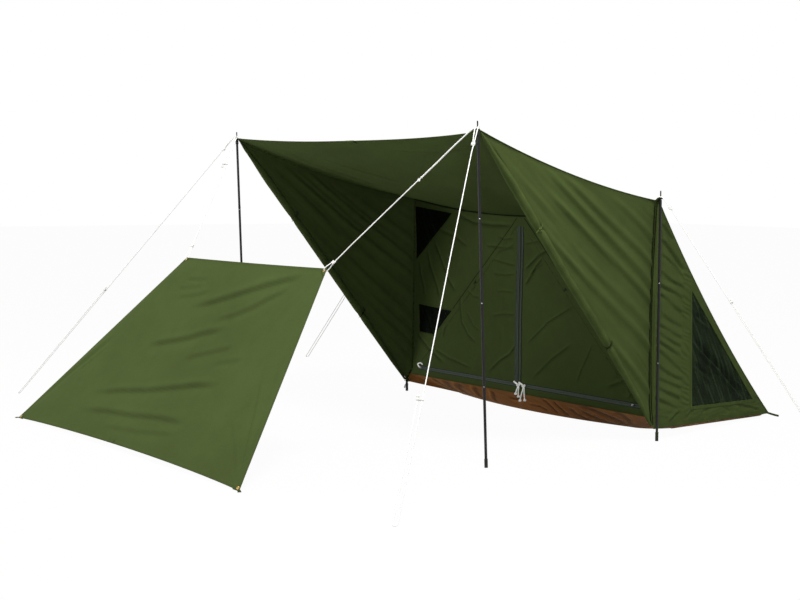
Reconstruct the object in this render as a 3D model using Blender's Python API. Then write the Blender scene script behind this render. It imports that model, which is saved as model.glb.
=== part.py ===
"""Pup tent with a raised canopy, rolled side wings, a zipped front wall and a free awning panel.

Metres, +Z up. X runs along the ridge, the tent opens towards -Y, and the origin lies on the
ground under the middle of the groundsheet. Every piece is modelled in ridge coordinates,
where y = 0 is the ridge line, and hangs from one empty that shifts them to the origin.
"""
import math

import bmesh
import bpy
from mathutils import Matrix, Vector

# Frame of the object
ORIGIN_BACK = 0.72          # from the ridge line back to the origin
TOUCH = 0.0003              # gap between pieces that touch
CUTTER_HALF = 0.030         # half height of a cutter that makes a hole in cloth

# Cloth
CLOTH = 0.003               # thickness of a cloth solid
NETTING = 0.002             # thickness of a netting solid
SEAM = 0.0005               # gap along a sewn seam
ROOF_STEPS = 16             # faces across the roof
CANOPY_ROWS = 10            # faces from the front edge to the ridge
REAR_ROWS = 9               # faces from the ridge to the ground

# Tent body
WALL_HALF = 1.268           # ridge middle to the corner seam
RIDGE_CLOTH = 1.505         # height of the ridge at its ends
RIDGE_SAG = 0.116
BODY_DEPTH = 1.381          # ridge line to the rear corner
REAR_HALF = 1.085           # middle to the rear corner
REAR_HEM = 0.022            # height of the rear hem
REAR_SAG = 0.050            # hollow of the rear slope
CORNER_HEM = 0.074          # height of the wall hem at the ridge pole

# Canopy
CANOPY_HALF = 1.291         # middle to the canopy pole at its top
CANOPY_REACH = 1.505        # ridge line to the canopy pole at its top
CANOPY_HEIGHT = 1.902       # cloth at the canopy pole
CORNER_LIP = 0.007          # cloth that reaches past the pole pin
FRONT_SAG = 0.043
SIDE_SAG = 0.046
ROOF_FOLD = 0.006           # height of the tension folds
ROOF_FOLD_COUNT = 5
ROOF_FLAT = 0.36            # share of the bow that stays smooth along the edges
FOLD_RISE = 1.8             # how fast folds grow past the smooth edges

# Wings
WING_INSET = 0.040          # canopy pin to the wing's point
WING_FOOT = 0.068           # height of the wing's lower corner
WING_CURVE = 0.006          # hollow of the wing's front edge
WING_FOLD = 0.011
WING_FOLD_COUNT = 6
WING_ROWS = 12
WING_STEPS = 18
ROLL_RADIUS = 0.019
ROLL_END_RADIUS = 0.009
ROLL_START = 0.045          # shares of the wing's front edge
ROLL_STOP = 0.984
ROLL_SWELL = (0.12, 0.10)   # lengths over which the roll thickens and thins
ROLL_TIES = (0.36, 0.73)
ROLL_PINCH = 0.22           # share of the radius that a tie draws in
PINCH_LENGTH = 0.014
ROLL_POINTS = 26

# Front wall
SILL_HEM = 0.142            # lower edge of the front wall
ZIP_HALF = 0.027            # middle to each upright zip
ZIP_LOW = 0.204             # height of the level zips
ZIP_DROP = 0.075            # middle of the ridge to the upper end of the upright zips
ZIP_TOP = RIDGE_CLOTH - RIDGE_SAG - ZIP_DROP
DOOR_HALF = 1.133           # middle to the outer point of a door
DOOR_GAP = 0.0005           # door to the wall along its sewn edge
ZIP_GAP = 0.0015            # door to the wall along its zips
DOOR_TIP = 0.006            # length that is cut off a door's pointed ends, so that they clear the wall

# Netting windows of the front wall, as (distance from the middle, drop below the ridge's ends)
UPPER_WINDOW = ((0.752, 0.120), (1.184, 0.077), (1.164, 0.477))
LOWER_WINDOW = ((0.737, 0.841), (1.132, 0.818), (1.117, 1.026), (0.938, 1.034))

# Netting window of a side wall, as shares of the body's depth and of the ridge's height
SIDE_WINDOW = ((0.2810, 0.6160), (0.3056, 0.1150), (0.8400, 0.0957))
HEM_STATIONS = (0.18, 0.36, 0.54, 0.72, 0.87)  # corners of the side hem, as shares of the depth

# Groundsheet
FLOOR_SHEET = 0.003
FLOOR_FRONT = 0.245         # ridge line to where the floor's front corners meet the ground
FLOOR_BULGE = 0.100         # how far the floor's front edge bows forward between them
FLOOR_SHARES = (0.0, 0.25, 0.5, 0.75, 1.0)  # places along the front edge, from the middle
FLOOR_BACK = 1.325
FLOOR_HALF = 1.042          # middle to where the floor's sides meet the ground
FLOOR_CORNER = (0.200, 0.305)  # radii of the floor's round front corners, along X and Y
FLOOR_TURNS = ((0.002, 25.0), (0.08, 45.0), (0.20, 65.0), (0.40, 90.0))  # rim place, turn of the corner
FLOOR_STATIONS = (0.60, 0.85, 1.10)  # rim places along the straight sides

# Poles
POLE_RADIUS = 0.008
POLE_SIDES = 12
SPIGOT_RADIUS = 0.0064
SOCKET_RADIUS = 0.0069
SPIGOT_LENGTH = 0.055
SPIGOT_END_GAP = 0.002
PIN_RADIUS = 0.004
PIN_ABOVE_CLOTH = 0.047
PIN_HOLE = 0.0048
CANOPY_FOOT_HALF = 1.303
CANOPY_FOOT_REACH = 1.417
CANOPY_SECTIONS = 4
RIDGE_POLE_HALF = 1.281
RIDGE_FOOT_HALF = 1.286
RIDGE_FOOT_BACK = 0.014     # the ridge pole's foot stands behind the ridge line
RIDGE_SECTIONS = 3
CAP_RADIUS = 0.010
CAP_BORE = 0.0084
CAP_FLOOR = 0.006
CAP_HEIGHT = 0.050

# Ridge tabs
TAB_LENGTH = 0.090          # from the corner seam inwards
TAB_REACH = 0.022           # past the corner seam
TAB_LIFT = 0.010            # how far the tab rises towards its pole
TAB_EASE = 0.0010           # pole shoulder below the tab's lowest point over it
TAB_STEPS = 12
TAB_FRONT = 0.024
TAB_BACK = 0.012

# Awning panel
PANEL_TOP_LEFT = (-0.925, -2.100, 1.101)
PANEL_TOP_RIGHT = (0.684, -2.090, 1.114)
PANEL_FOOT_LEFT = (-1.735, -2.938, 0.004)
PANEL_FOOT_RIGHT = (1.050, -2.884, 0.004)
PANEL_TOP_CURVE = 0.004
PANEL_FOOT_CURVE = 0.034
PANEL_BELLY = 0.020
PANEL_FOLD = 0.007
PANEL_FOLD_COUNT = 4
PANEL_FLAT = 0.27           # share of the bow that stays flat round the eyelets
PANEL_STEPS = 16
PANEL_ROWS = 14
EYELET_INSET = 0.016        # panel corner to its eyelet
EYELET_BORE = 0.0052
EYELET_WAIST = 0.0072
EYELET_FLANGE = 0.0095
EYELET_LIP = 0.0012
EYELET_SIDES = 16

# Guylines
ROPE_RADIUS = 0.003
LOOP_RADIUS = 0.012         # half the distance between doubled strands
ROPE_CLEAR = 0.0006         # rope to what it loops round
PIN_EASE = 0.0010           # rope to the pin that it loops round
PIN_LOOP = PIN_RADIUS + ROPE_RADIUS + PIN_EASE  # radius of a rope's turn round a pin
SEAT_EASE = 0.0016          # rope to the cloth that it crosses
ROPE_TURN = 0.005           # level run past the cloth before a rope turns down
LEVEL_SHARE = 0.6           # share of the level run where its strands are still parallel
FACING = 0.2                # least cosine at which a rope crosses an edge of the cloth
LOOP_LEAD = 0.025           # from that turn to where the loop's strands start to close
EYELET_LEAD = 0.035         # from an eyelet to where the loop's strands start to close
NEAR_SHARE = 0.9            # share of a loop's width at that place
STRAND_EASE = 0.060         # straight rope past a knot or a runner
PEG_LEAD = 0.100            # parallel strands before the loop at a peg
KNOT_HALF = 0.0037          # half the distance between strands in a knot
ROPE_END = 0.022            # rope past its runner
LAY_HEIGHT = 0.0036         # middle of a rope that lies on the ground
FRONT_LEFT_PEG = (-2.801, -2.493)
FRONT_RIGHT_PEG = (2.104, -2.659)
RIDGE_RIGHT_PEG = (2.295, 0.400)
RIDGE_LEFT_PEG = (-3.478, 0.527)
CORNER_KNOT = 0.122         # pin to the knot of a fixed loop
RIDGE_KNOT = 0.083
PANEL_LEFT_KNOT = 0.115     # eyelet to the knot
PANEL_RIGHT_KNOT = 0.072
FRONT_LEFT_RUNNER = 1.519   # pin to the runner
FRONT_RIGHT_RUNNER = 1.702
RIDGE_RUNNER = 0.776
PANEL_LEFT_RUNNER = 0.247
PANEL_RIGHT_RUNNER = 0.398
RUNNER_WIDTH = 0.038
RUNNER_DEPTH = 0.013
RUNNER_THICK = 0.005
RUNNER_BORE = 0.0037
RUNNER_SIDES = 12
RUNNER_TRAVEL = 0.250
PANEL_RUNNER_TRAVEL = 0.080

# Zip sliders
SLIDER_WIDTH = 0.012
SLIDER_LENGTH = 0.018
SLIDER_THICK = 0.005
PULL_WIDTH = 0.005
PULL_LENGTH = 0.048
SLIDER_LIFT = 0.016         # slider middle above the level zip, or in from the door's point
SLIDER_POINT = 0.040


# Small tools

def lerp(a, b, t):
    return a + (b - a) * t


def bow(t):
    """A parabola that is 0 at both ends and 1 in the middle."""
    return 4.0 * t * (1.0 - t)


def smooth(t):
    t = min(1.0, max(0.0, t))
    return t * t * (3.0 - 2.0 * t)


def clear_scene():
    for item in list(bpy.data.objects):
        bpy.data.objects.remove(item)


def finish_of(name, color, roughness, metallic=0.0):
    material = bpy.data.materials.get(name)
    if material:
        return material
    material = bpy.data.materials.new(name)
    material.use_nodes = True
    shader = material.node_tree.nodes["Principled BSDF"]
    shader.inputs["Base Color"].default_value = (*color, 1.0)
    shader.inputs["Roughness"].default_value = roughness
    shader.inputs["Metallic"].default_value = metallic
    return material


def olive_cloth():
    return finish_of("olive_cloth", (0.074, 0.102, 0.034), 0.85)


def brown_cloth():
    return finish_of("brown_cloth", (0.068, 0.029, 0.011), 0.6)


def dark_netting():
    return finish_of("dark_netting", (0.010, 0.014, 0.009), 0.9)


def black_steel():
    return finish_of("black_steel", (0.020, 0.020, 0.021), 0.38, 0.6)


def black_rubber():
    return finish_of("black_rubber", (0.012, 0.012, 0.012), 0.7)


def white_cord():
    return finish_of("white_cord", (0.80, 0.80, 0.77), 0.8)


def white_plastic():
    return finish_of("white_plastic", (0.62, 0.62, 0.58), 0.45)


def brass():
    return finish_of("brass", (0.60, 0.36, 0.12), 0.35, 1.0)


def grey_metal():
    return finish_of("grey_metal", (0.20, 0.20, 0.19), 0.4, 0.8)


def add_piece(name, data, material, parent):
    piece = bpy.data.objects.new(name, data)
    data.materials.append(material)
    bpy.context.scene.collection.objects.link(piece)
    piece.parent = parent
    return piece


def add_mesh(name, verts, faces, material, parent, flat=False):
    mesh = bpy.data.meshes.new(name)
    mesh.from_pydata([tuple(v) for v in verts], [], faces)
    mesh.validate()
    if not flat:
        mesh.shade_smooth()
        mesh.set_sharp_from_angle(angle=math.radians(35.0))
    return add_piece(name, mesh, material, parent)


def thicken(piece, thickness, offset=0.0):
    solid = piece.modifiers.new("thickness", "SOLIDIFY")
    solid.thickness = thickness
    solid.offset = offset
    solid.use_rim = True


def cut_with(piece, cutter):
    cutter.hide_render = True
    cutter.display_type = "WIRE"
    cut = piece.modifiers.new("cut_" + cutter.name, "BOOLEAN")
    cut.operation = "DIFFERENCE"
    cut.object = cutter


def set_origin(piece, point):
    """Moves the piece's origin to a point in ridge coordinates and leaves its shape in place."""
    point = Vector(point)
    piece.data.transform(Matrix.Translation(-point))
    piece.location = point


def cloth_grid(name, point, steps, rows, material, parent, thickness=CLOTH):
    """A sheet over a grid: point(u, v) gives its middle surface."""
    verts = [point(i / steps, j / rows) for j in range(rows + 1) for i in range(steps + 1)]
    faces = []
    for j in range(rows):
        for i in range(steps):
            a = j * (steps + 1) + i
            faces.append((a, a + 1, a + steps + 2, a + steps + 1))
    piece = add_mesh(name, verts, faces, material, parent)
    thicken(piece, thickness)
    return piece


def cloth_fan(name, point, steps, rows, material, parent):
    """A sheet that spreads from one corner: point(0, v) is the same corner for every v."""
    verts = [point(0.0, 0.0)]
    for j in range(1, rows + 1):
        verts += [point(j / rows, i / steps) for i in range(steps + 1)]
    faces = [(0, 1 + i, 2 + i) for i in range(steps)]
    for j in range(rows - 1):
        for i in range(steps):
            a = 1 + j * (steps + 1) + i
            faces.append((a, a + steps + 1, a + steps + 2, a + 1))
    piece = add_mesh(name, verts, faces, material, parent)
    thicken(piece, CLOTH)
    return piece


def flat_sheet(name, outline, holes, frame, thickness, material, parent):
    """A flat sheet in a frame's XY plane, with its outline and holes given as (x, y)."""
    work = bmesh.new()
    edges = []
    for loop in (outline, *holes):
        verts = [work.verts.new((x, y, 0.0)) for x, y in loop]
        edges += [work.edges.new((verts[i - 1], verts[i])) for i in range(len(verts))]
    bmesh.ops.triangle_fill(work, use_beauty=True, use_dissolve=False, edges=edges)
    bmesh.ops.recalc_face_normals(work, faces=work.faces[:])
    work.transform(frame)
    mesh = bpy.data.meshes.new(name)
    work.to_mesh(mesh)
    work.free()
    piece = add_piece(name, mesh, material, parent)
    thicken(piece, thickness)
    return piece


def turned(name, profile, sides, material, parent, closed=False):
    """Turns (radius, height) points about Z; a radius of 0 is one point on the axis."""
    verts = []
    rings = []
    for radius, height in profile:
        if radius == 0.0:
            rings.append([len(verts)])
            verts.append((0.0, 0.0, height))
            continue
        rings.append(list(range(len(verts), len(verts) + sides)))
        for k in range(sides):
            turn = 2.0 * math.pi * k / sides
            verts.append((radius * math.cos(turn), radius * math.sin(turn), height))
    pairs = list(zip(rings, rings[1:]))
    if closed:
        pairs.append((rings[-1], rings[0]))
    faces = []
    for low, high in pairs:
        for k in range(sides):
            n = (k + 1) % sides
            if len(low) == 1:
                faces.append((low[0], high[n], high[k]))
            elif len(high) == 1:
                faces.append((low[k], low[n], high[0]))
            else:
                faces.append((low[k], low[n], high[n], high[k]))
    return add_mesh(name, verts, faces, material, parent)


def stand_on_axis(piece, foot, top):
    """Sets a piece's Z axis along the line from foot to top, with its origin at foot."""
    piece.rotation_euler = (top - foot).to_track_quat("Z", "Y").to_euler()
    piece.location = foot


def smooth_route(points, step_limit=0.03):
    """Reads points from a centripetal curve through a route, closer where its points are close."""
    ends = [points[0] * 2 - points[1], *points, points[-1] * 2 - points[-2]]
    out = []
    for a, b, c, d in zip(ends, ends[1:], ends[2:], ends[3:]):
        near = (c - b).length < step_limit
        count = 2 if near else 1
        t1 = (b - a).length ** 0.5
        t2 = t1 + (c - b).length ** 0.5
        t3 = t2 + (d - c).length ** 0.5
        for k in range(count):
            t = lerp(t1, t2, k / count)
            p1 = a.lerp(b, t / t1)
            p2 = b.lerp(c, (t - t1) / (t2 - t1))
            p3 = c.lerp(d, (t - t2) / (t3 - t2))
            q1 = p1.lerp(p2, t / t2)
            q2 = p2.lerp(p3, (t - t1) / (t3 - t1))
            out.append(q1.lerp(q2, (t - t1) / (t2 - t1)))
    out.append(points[-1])
    return out


def tube(name, points, radius, material, parent, resolution=2, scales=None):
    curve = bpy.data.curves.new(name, "CURVE")
    curve.dimensions = "3D"
    curve.bevel_depth = radius
    curve.bevel_resolution = resolution
    curve.use_fill_caps = True
    line = curve.splines.new("POLY")
    line.points.add(len(points) - 1)
    for k, place in enumerate(points):
        line.points[k].co = (*place, 1.0)
        if scales:
            line.points[k].radius = scales[k]
    return add_piece(name, curve, material, parent)


# Shapes that pieces share

def ridge_height(x):
    """Height of the ridge cloth at a distance from its middle."""
    return RIDGE_CLOTH - RIDGE_SAG * (1.0 - (x / WALL_HALF) ** 2)


def roof_half(v):
    return lerp(CANOPY_HALF + CORNER_LIP, WALL_HALF, v)


def roof_height(x, y):
    """Height of the canopy's middle surface."""
    front = CANOPY_REACH + CORNER_LIP
    v = 1.0 + y / front
    u = 0.5 + 0.5 * x / roof_half(v)
    height = lerp(CANOPY_HEIGHT, RIDGE_CLOTH, v) - SIDE_SAG * bow(v)
    height -= bow(u) * lerp(FRONT_SAG, RIDGE_SAG, v)
    turn = math.atan2(front + y, roof_half(v) - abs(x) + 1e-6)
    fade = smooth(FOLD_RISE * (bow(v) - ROOF_FLAT)) * smooth(FOLD_RISE * (bow(u) - ROOF_FLAT))
    return height + ROOF_FOLD * math.sin(2.0 * ROOF_FOLD_COUNT * turn) * fade


def canopy_point(u, v):
    front = CANOPY_REACH + CORNER_LIP
    y = lerp(-front, -3.0 * SEAM, v)
    x = (2.0 * u - 1.0) * roof_half(1.0 + y / front)
    return Vector((x, y, roof_height(x, y)))


def rear_point(u, v):
    """The rear roof's middle surface, from the ridge down to the rear hem."""
    x = (2.0 * u - 1.0) * lerp(WALL_HALF, REAR_HALF, v)
    top = Vector((0.0, ridge_height((2.0 * u - 1.0) * WALL_HALF)))
    foot = Vector((BODY_DEPTH, REAR_HEM))
    run = foot - top
    out = Vector((-run.y, run.x)).normalized()
    place = top.lerp(foot, v) - out * REAR_SAG * bow(v)
    return Vector((x, place.x + 2.5 * SEAM, place.y))


def wing_plane(y):
    """Distance of a wing from the middle at a distance in front of the ridge line."""
    return lerp(WALL_HALF, CANOPY_HALF, -y / CANOPY_REACH)


def wing_top(y):
    return roof_height(wing_plane(y), y) - 0.5 * CLOTH - 2.0 * SEAM


def roll_radius(s):
    """Radius of the rolled wing edge at a share of its length, drawn in at its ties."""
    swell = smooth((s - ROLL_START) / ROLL_SWELL[0]) * smooth((ROLL_STOP - s) / ROLL_SWELL[1])
    radius = lerp(ROLL_END_RADIUS, ROLL_RADIUS, swell)
    for tie in ROLL_TIES:
        radius *= 1.0 - ROLL_PINCH * math.exp(-((s - tie) / PINCH_LENGTH) ** 2)
    return radius


def wing_front(s):
    """Middle of the rolled front edge as (y, z), from the wing's point to its lower corner."""
    start = Vector((-CANOPY_REACH + WING_INSET, wing_top(-CANOPY_REACH + WING_INSET)))
    stop = Vector((-SEAM, WING_FOOT))
    run = stop - start
    inner = Vector((-run.y, run.x)).normalized()
    return start.lerp(stop, s) + inner * WING_CURVE * bow(s), inner


def roll_offset(s, inner):
    """From the middle of the roll to the wing's edge; it turns upright at the corner seam."""
    swell = smooth(s / (2.0 * ROLL_START)) * smooth((1.1 - s) / 0.12)
    reach = lerp(ROLL_END_RADIUS, ROLL_RADIUS, swell) + SEAM
    turn = smooth((s - 0.8) / 0.2)
    way = inner.lerp(Vector((0.0, 1.0)), turn)
    return way * reach * smooth(s / ROLL_START) / way.dot(inner)


def wing_point(s, v, side):
    """A wing's middle surface, spreading from its point s = 0 to the corner seam s = 1."""
    y0 = -CANOPY_REACH + WING_INSET
    point = Vector((y0, wing_top(y0)))
    y_top = lerp(y0, -SEAM, s)
    seam = Vector((-SEAM, lerp(wing_top(-SEAM), WING_FOOT, v)))
    upper = Vector((y_top, wing_top(y_top)))
    upper -= point.lerp(Vector((-SEAM, wing_top(-SEAM))), s)
    lower, inner = wing_front(s)
    lower += roll_offset(s, inner)
    lower -= point.lerp(Vector((-SEAM, WING_FOOT)), s)
    place = point.lerp(seam, s) + upper * (1.0 - v) + lower * v
    fold = math.sin(2.0 * math.pi * WING_FOLD_COUNT * v + 2.2 * s)
    fold *= WING_FOLD * smooth(3.0 * s) * smooth(4.0 * (1.0 - s)) * smooth(2.0 * bow(v))
    return Vector((side * (wing_plane(place.x) + fold), place.x, place.y))


def wall_half(y):
    """Distance of a side wall from the middle, at a distance behind the ridge line."""
    return lerp(WALL_HALF, REAR_HALF, y / BODY_DEPTH)


def hem_height(y):
    """Height of the side wall's hem behind the ridge line."""
    return lerp(CORNER_HEM, REAR_HEM, y / BODY_DEPTH)


def side_frame(side):
    """A side wall's plane: X runs back from the corner seam, Y is up."""
    along = Vector((side * (REAR_HALF - WALL_HALF), BODY_DEPTH, 0.0)).normalized()
    up = Vector((0.0, 0.0, 1.0))
    out = along.cross(up)
    frame = Matrix((along, up, out)).transposed().to_4x4()
    frame.translation = (side * WALL_HALF, 0.0, 0.0)
    return frame


def side_run(y):
    """Distance along a side wall for a distance behind the ridge line."""
    return y * math.hypot(WALL_HALF - REAR_HALF, BODY_DEPTH) / BODY_DEPTH


def inset(outline, gap):
    """Moves the sides of a convex outline inwards."""
    count = len(outline)
    middle = sum((Vector(p) for p in outline), Vector((0.0, 0.0))) / count
    lines = []
    for k in range(count):
        a, b = Vector(outline[k]), Vector(outline[(k + 1) % count])
        run = (b - a).normalized()
        normal = Vector((-run.y, run.x))
        if normal.dot(middle - a) < 0.0:
            normal = -normal
        lines.append((a + normal * gap, run))
    out = []
    for k in range(count):
        (p, r), (q, s) = lines[k - 1], lines[k]
        reach = (q - p).cross(s) / r.cross(s)
        out.append(tuple(p + r * reach))
    return out


def mirrored(outline, side):
    return [(side * x, z) for x, z in outline]


# Poles

def shoulder_height(x, y, half_slope):
    """Top of a pole tube, seated under the sloping roof cloth."""
    return roof_height(x, y) - 0.5 * CLOTH - half_slope - 2.0 * TOUCH


def add_pole(name, foot, top, cloth_height, sections, parent):
    """A pole of plugged sections with a pin at its top, in a rubber foot."""
    axis = top - foot
    lean = axis.angle(Vector((0.0, 0.0, 1.0)))
    seat = foot + Vector((0.0, 0.0, CAP_RADIUS * math.sin(lean)))
    start = CAP_FLOOR + TOUCH
    length = (axis.length - start) / sections
    for k in range(sections):
        low = start + k * length + (TOUCH if k else 0.0)
        high = start + (k + 1) * length
        profile = [(0.0, low), (POLE_RADIUS, low)]
        if k:
            bottom = low + SPIGOT_LENGTH + SPIGOT_END_GAP
            profile = [(0.0, bottom), (SOCKET_RADIUS, bottom), (SOCKET_RADIUS, low), (POLE_RADIUS, low)]
        profile.append((POLE_RADIUS, high))
        if k < sections - 1:
            profile += [(SPIGOT_RADIUS, high), (SPIGOT_RADIUS, high + SPIGOT_LENGTH)]
            profile.append((0.0, high + SPIGOT_LENGTH))
        else:
            tip = high + cloth_height - top.z + PIN_ABOVE_CLOTH
            profile += [(PIN_RADIUS, high), (PIN_RADIUS, tip - PIN_RADIUS), (0.5 * PIN_RADIUS, tip)]
            profile.append((0.0, tip))
        piece = turned(f"{name}_section_{k + 1}", profile, POLE_SIDES, black_steel(), parent)
        stand_on_axis(piece, seat, top)
    cup = [(0.0, 0.0), (CAP_RADIUS, 0.0), (CAP_RADIUS, CAP_HEIGHT), (CAP_BORE, CAP_HEIGHT)]
    cup += [(CAP_BORE, CAP_FLOOR), (0.0, CAP_FLOOR)]
    cap = turned(f"{name}_foot", cup, POLE_SIDES, black_rubber(), parent)
    stand_on_axis(cap, seat, top)


def canopy_pole_line(side):
    """Foot and shoulder of a canopy pole."""
    slope = (CANOPY_HEIGHT - RIDGE_CLOTH + 4.0 * SIDE_SAG) / CANOPY_REACH
    lean = (CANOPY_REACH - CANOPY_FOOT_REACH) / CANOPY_HEIGHT
    z = shoulder_height(CANOPY_HALF, -CANOPY_REACH, (slope + lean) * POLE_RADIUS)
    foot = Vector((side * CANOPY_FOOT_HALF, -CANOPY_FOOT_REACH, 0.0))
    return foot, Vector((side * CANOPY_HALF, -CANOPY_REACH, z))


def ridge_pole_line(side):
    """Foot and shoulder of a ridge pole."""
    foot = Vector((side * RIDGE_FOOT_HALF, RIDGE_FOOT_BACK, 0.0))
    return foot, Vector((side * RIDGE_POLE_HALF, 0.0, tab_seat() - 0.5 * CLOTH - TAB_EASE))


def on_pole(line, height):
    """The point on a pole's axis, or on its pin, at a height."""
    foot, top = line
    return foot.lerp(top, height / top.z)


def add_poles(parent):
    for side, word in ((-1, "left"), (1, "right")):
        cloth = roof_height(CANOPY_HALF, -CANOPY_REACH)
        add_pole(f"canopy_pole_{word}", *canopy_pole_line(side), cloth, CANOPY_SECTIONS, parent)
        cloth = tab_height(RIDGE_POLE_HALF, 0.0)
        add_pole(f"ridge_pole_{word}", *ridge_pole_line(side), cloth, RIDGE_SECTIONS, parent)


# Roof

def pin_cutter(name, x, y, z, parent):
    """A round cutter that makes a pin's hole in the roof cloth."""
    profile = [(0.0, -CUTTER_HALF), (PIN_HOLE, -CUTTER_HALF), (PIN_HOLE, CUTTER_HALF), (0.0, CUTTER_HALF)]
    cutter = turned(name, profile, EYELET_SIDES, black_rubber(), parent)
    cutter.location = (x, y, z)
    return cutter


def tab_height(x, y):
    """Middle of a ridge tab, which lies on the canopy cloth and reaches past its corner."""
    slope = 2.0 * RIDGE_SAG / WALL_HALF
    edge = roof_height(min(abs(x), WALL_HALF), min(y, 0.0))
    rise = (CANOPY_HEIGHT - RIDGE_CLOTH + 4.0 * SIDE_SAG) / CANOPY_REACH
    past = max(0.0, abs(x) - WALL_HALF)
    lift = TAB_LIFT * smooth((abs(x) - RIDGE_POLE_HALF) / TAB_REACH + 1.0)
    return edge + slope * past - rise * max(y, 0.0) + CLOTH + 3.0 * SEAM + lift


def tab_seat():
    """The lowest height of a ridge tab's middle over the top of its pole."""
    reaches = (-POLE_RADIUS, 0.0, POLE_RADIUS)
    return min(tab_height(RIDGE_POLE_HALF + a, b) for a in reaches for b in reaches)


def add_roof(parent):
    roof = cloth_grid("canopy_roof", canopy_point, ROOF_STEPS, CANOPY_ROWS, olive_cloth(), parent)
    cloth_grid("rear_roof", rear_point, ROOF_STEPS, REAR_ROWS, olive_cloth(), parent)
    for side, word in ((-1, "left"), (1, "right")):
        height = roof_height(CANOPY_HALF, -CANOPY_REACH)
        cut_with(roof, pin_cutter(f"pin_hole_{word}", side * CANOPY_HALF, -CANOPY_REACH, height, parent))

        def tab_point(u, v, side=side):
            x = lerp(WALL_HALF - TAB_LENGTH, WALL_HALF + TAB_REACH, u)
            y = lerp(-TAB_FRONT, TAB_BACK, v)
            return Vector((side * x, y, tab_height(x, y)))

        tab = cloth_grid(f"ridge_tab_{word}", tab_point, TAB_STEPS, 4, olive_cloth(), parent)
        height = tab_height(RIDGE_POLE_HALF, 0.0)
        cut_with(tab, pin_cutter(f"tab_hole_{word}", side * RIDGE_POLE_HALF, 0.0, height, parent))


# Wings

def add_wings(parent):
    for side, word in ((-1, "left"), (1, "right")):
        def point(s, v, side=side):
            return wing_point(s, v, side)

        cloth_fan(f"wing_{word}", point, WING_STEPS, WING_ROWS, olive_cloth(), parent)
        places = []
        scales = []
        for k in range(ROLL_POINTS + 1):
            s = lerp(ROLL_START, ROLL_STOP, k / ROLL_POINTS)
            middle, inner = wing_front(s)
            places.append(Vector((side * wing_plane(middle.x), middle.x, middle.y)))
            scales.append(roll_radius(s) / ROLL_RADIUS)
        tube(f"rolled_flap_{word}", places, ROLL_RADIUS, olive_cloth(), parent, 3, scales)


# Front wall, doors and netting

def front_frame():
    """The front wall's plane: X along the ridge, Y up, facing -Y."""
    frame = Matrix(((1, 0, 0), (0, 0, 1), (0, -1, 0))).transposed().to_4x4()
    return frame


def door_outline():
    """The opening that a door fills."""
    return [(ZIP_HALF, ZIP_LOW), (DOOR_HALF, ZIP_LOW), (ZIP_HALF, ZIP_TOP)]


def door_shape():
    """A door's own outline, clear of the wall and with its pointed ends cut off."""
    slope = (ZIP_TOP - ZIP_LOW) / (DOOR_HALF - ZIP_HALF)
    drop = DOOR_GAP * math.hypot(1.0, slope)
    inner = ZIP_HALF + ZIP_GAP
    low = ZIP_LOW + ZIP_GAP
    high = ZIP_TOP - slope * ZIP_GAP - drop - DOOR_TIP
    outer = DOOR_HALF - (ZIP_GAP + drop) / slope - DOOR_TIP
    sewn = [(outer, low + slope * DOOR_TIP), (inner + DOOR_TIP / slope, high)]
    return [(inner, low), (outer, low), *sewn, (inner, high)]


def window_outline(shape):
    return [(x, RIDGE_CLOTH - drop) for x, drop in shape]


def add_front_wall(parent):
    end = WALL_HALF - 0.5 * CLOTH - SEAM
    drop = CLOTH + 1.2 * SEAM
    outline = [(-end, SILL_HEM), (end, SILL_HEM)]
    for k in range(ROOF_STEPS + 1):
        x = lerp(end, -end, k / ROOF_STEPS)
        outline.append((x, ridge_height(x) - drop))
    holes = []
    for side in (-1, 1):
        shapes = (door_outline(), window_outline(UPPER_WINDOW), window_outline(LOWER_WINDOW))
        holes += [mirrored(shape, side) for shape in shapes]
    flat_sheet("front_wall", outline, holes, front_frame(), CLOTH, olive_cloth(), parent)
    for side, word in ((-1, "left"), (1, "right")):
        for part, shape in (("upper", UPPER_WINDOW), ("lower", LOWER_WINDOW)):
            net = mirrored(inset(window_outline(shape), SEAM), side)
            name = f"{part}_window_net_{word}"
            flat_sheet(name, net, [], front_frame(), NETTING, dark_netting(), parent)
        shape = mirrored(door_shape(), side)
        piece = flat_sheet(f"door_{word}", shape, [], front_frame(), CLOTH, olive_cloth(), parent)
        hinge_x = 0.5 * (ZIP_HALF + DOOR_HALF)
        hinge_z = 0.5 * (ZIP_LOW + ZIP_TOP)
        set_origin(piece, (side * hinge_x, -0.5 * CLOTH - TOUCH, hinge_z))


def slider_outline():
    """A zip slider seen from the front: its body with the pull hanging below."""
    half = 0.5 * SLIDER_WIDTH
    tall = 0.5 * SLIDER_LENGTH
    pull = 0.5 * PULL_WIDTH
    taper = 0.25 * SLIDER_LENGTH
    outline = [(pull, -tall), (half, -tall + taper), (half, tall - taper), (pull, tall)]
    outline += [(-x, z) for x, z in reversed(outline)]
    outline += [(-pull, -tall - PULL_LENGTH), (pull, -tall - PULL_LENGTH)]
    return outline


def add_sliders(parent):
    out = -0.5 * CLOTH - TOUCH - 0.5 * SLIDER_THICK
    for side, word in ((-1, "left"), (1, "right")):
        places = {
            f"upright_slider_{word}": (side * ZIP_HALF, out, ZIP_LOW + SLIDER_LIFT),
            f"level_slider_{word}": (side * (DOOR_HALF - SLIDER_POINT), out, ZIP_LOW),
        }
        for name, place in places.items():
            slider = flat_sheet(name, slider_outline(), [], front_frame(), SLIDER_THICK, grey_metal(), parent)
            slider.location = place


# Side walls

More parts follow.
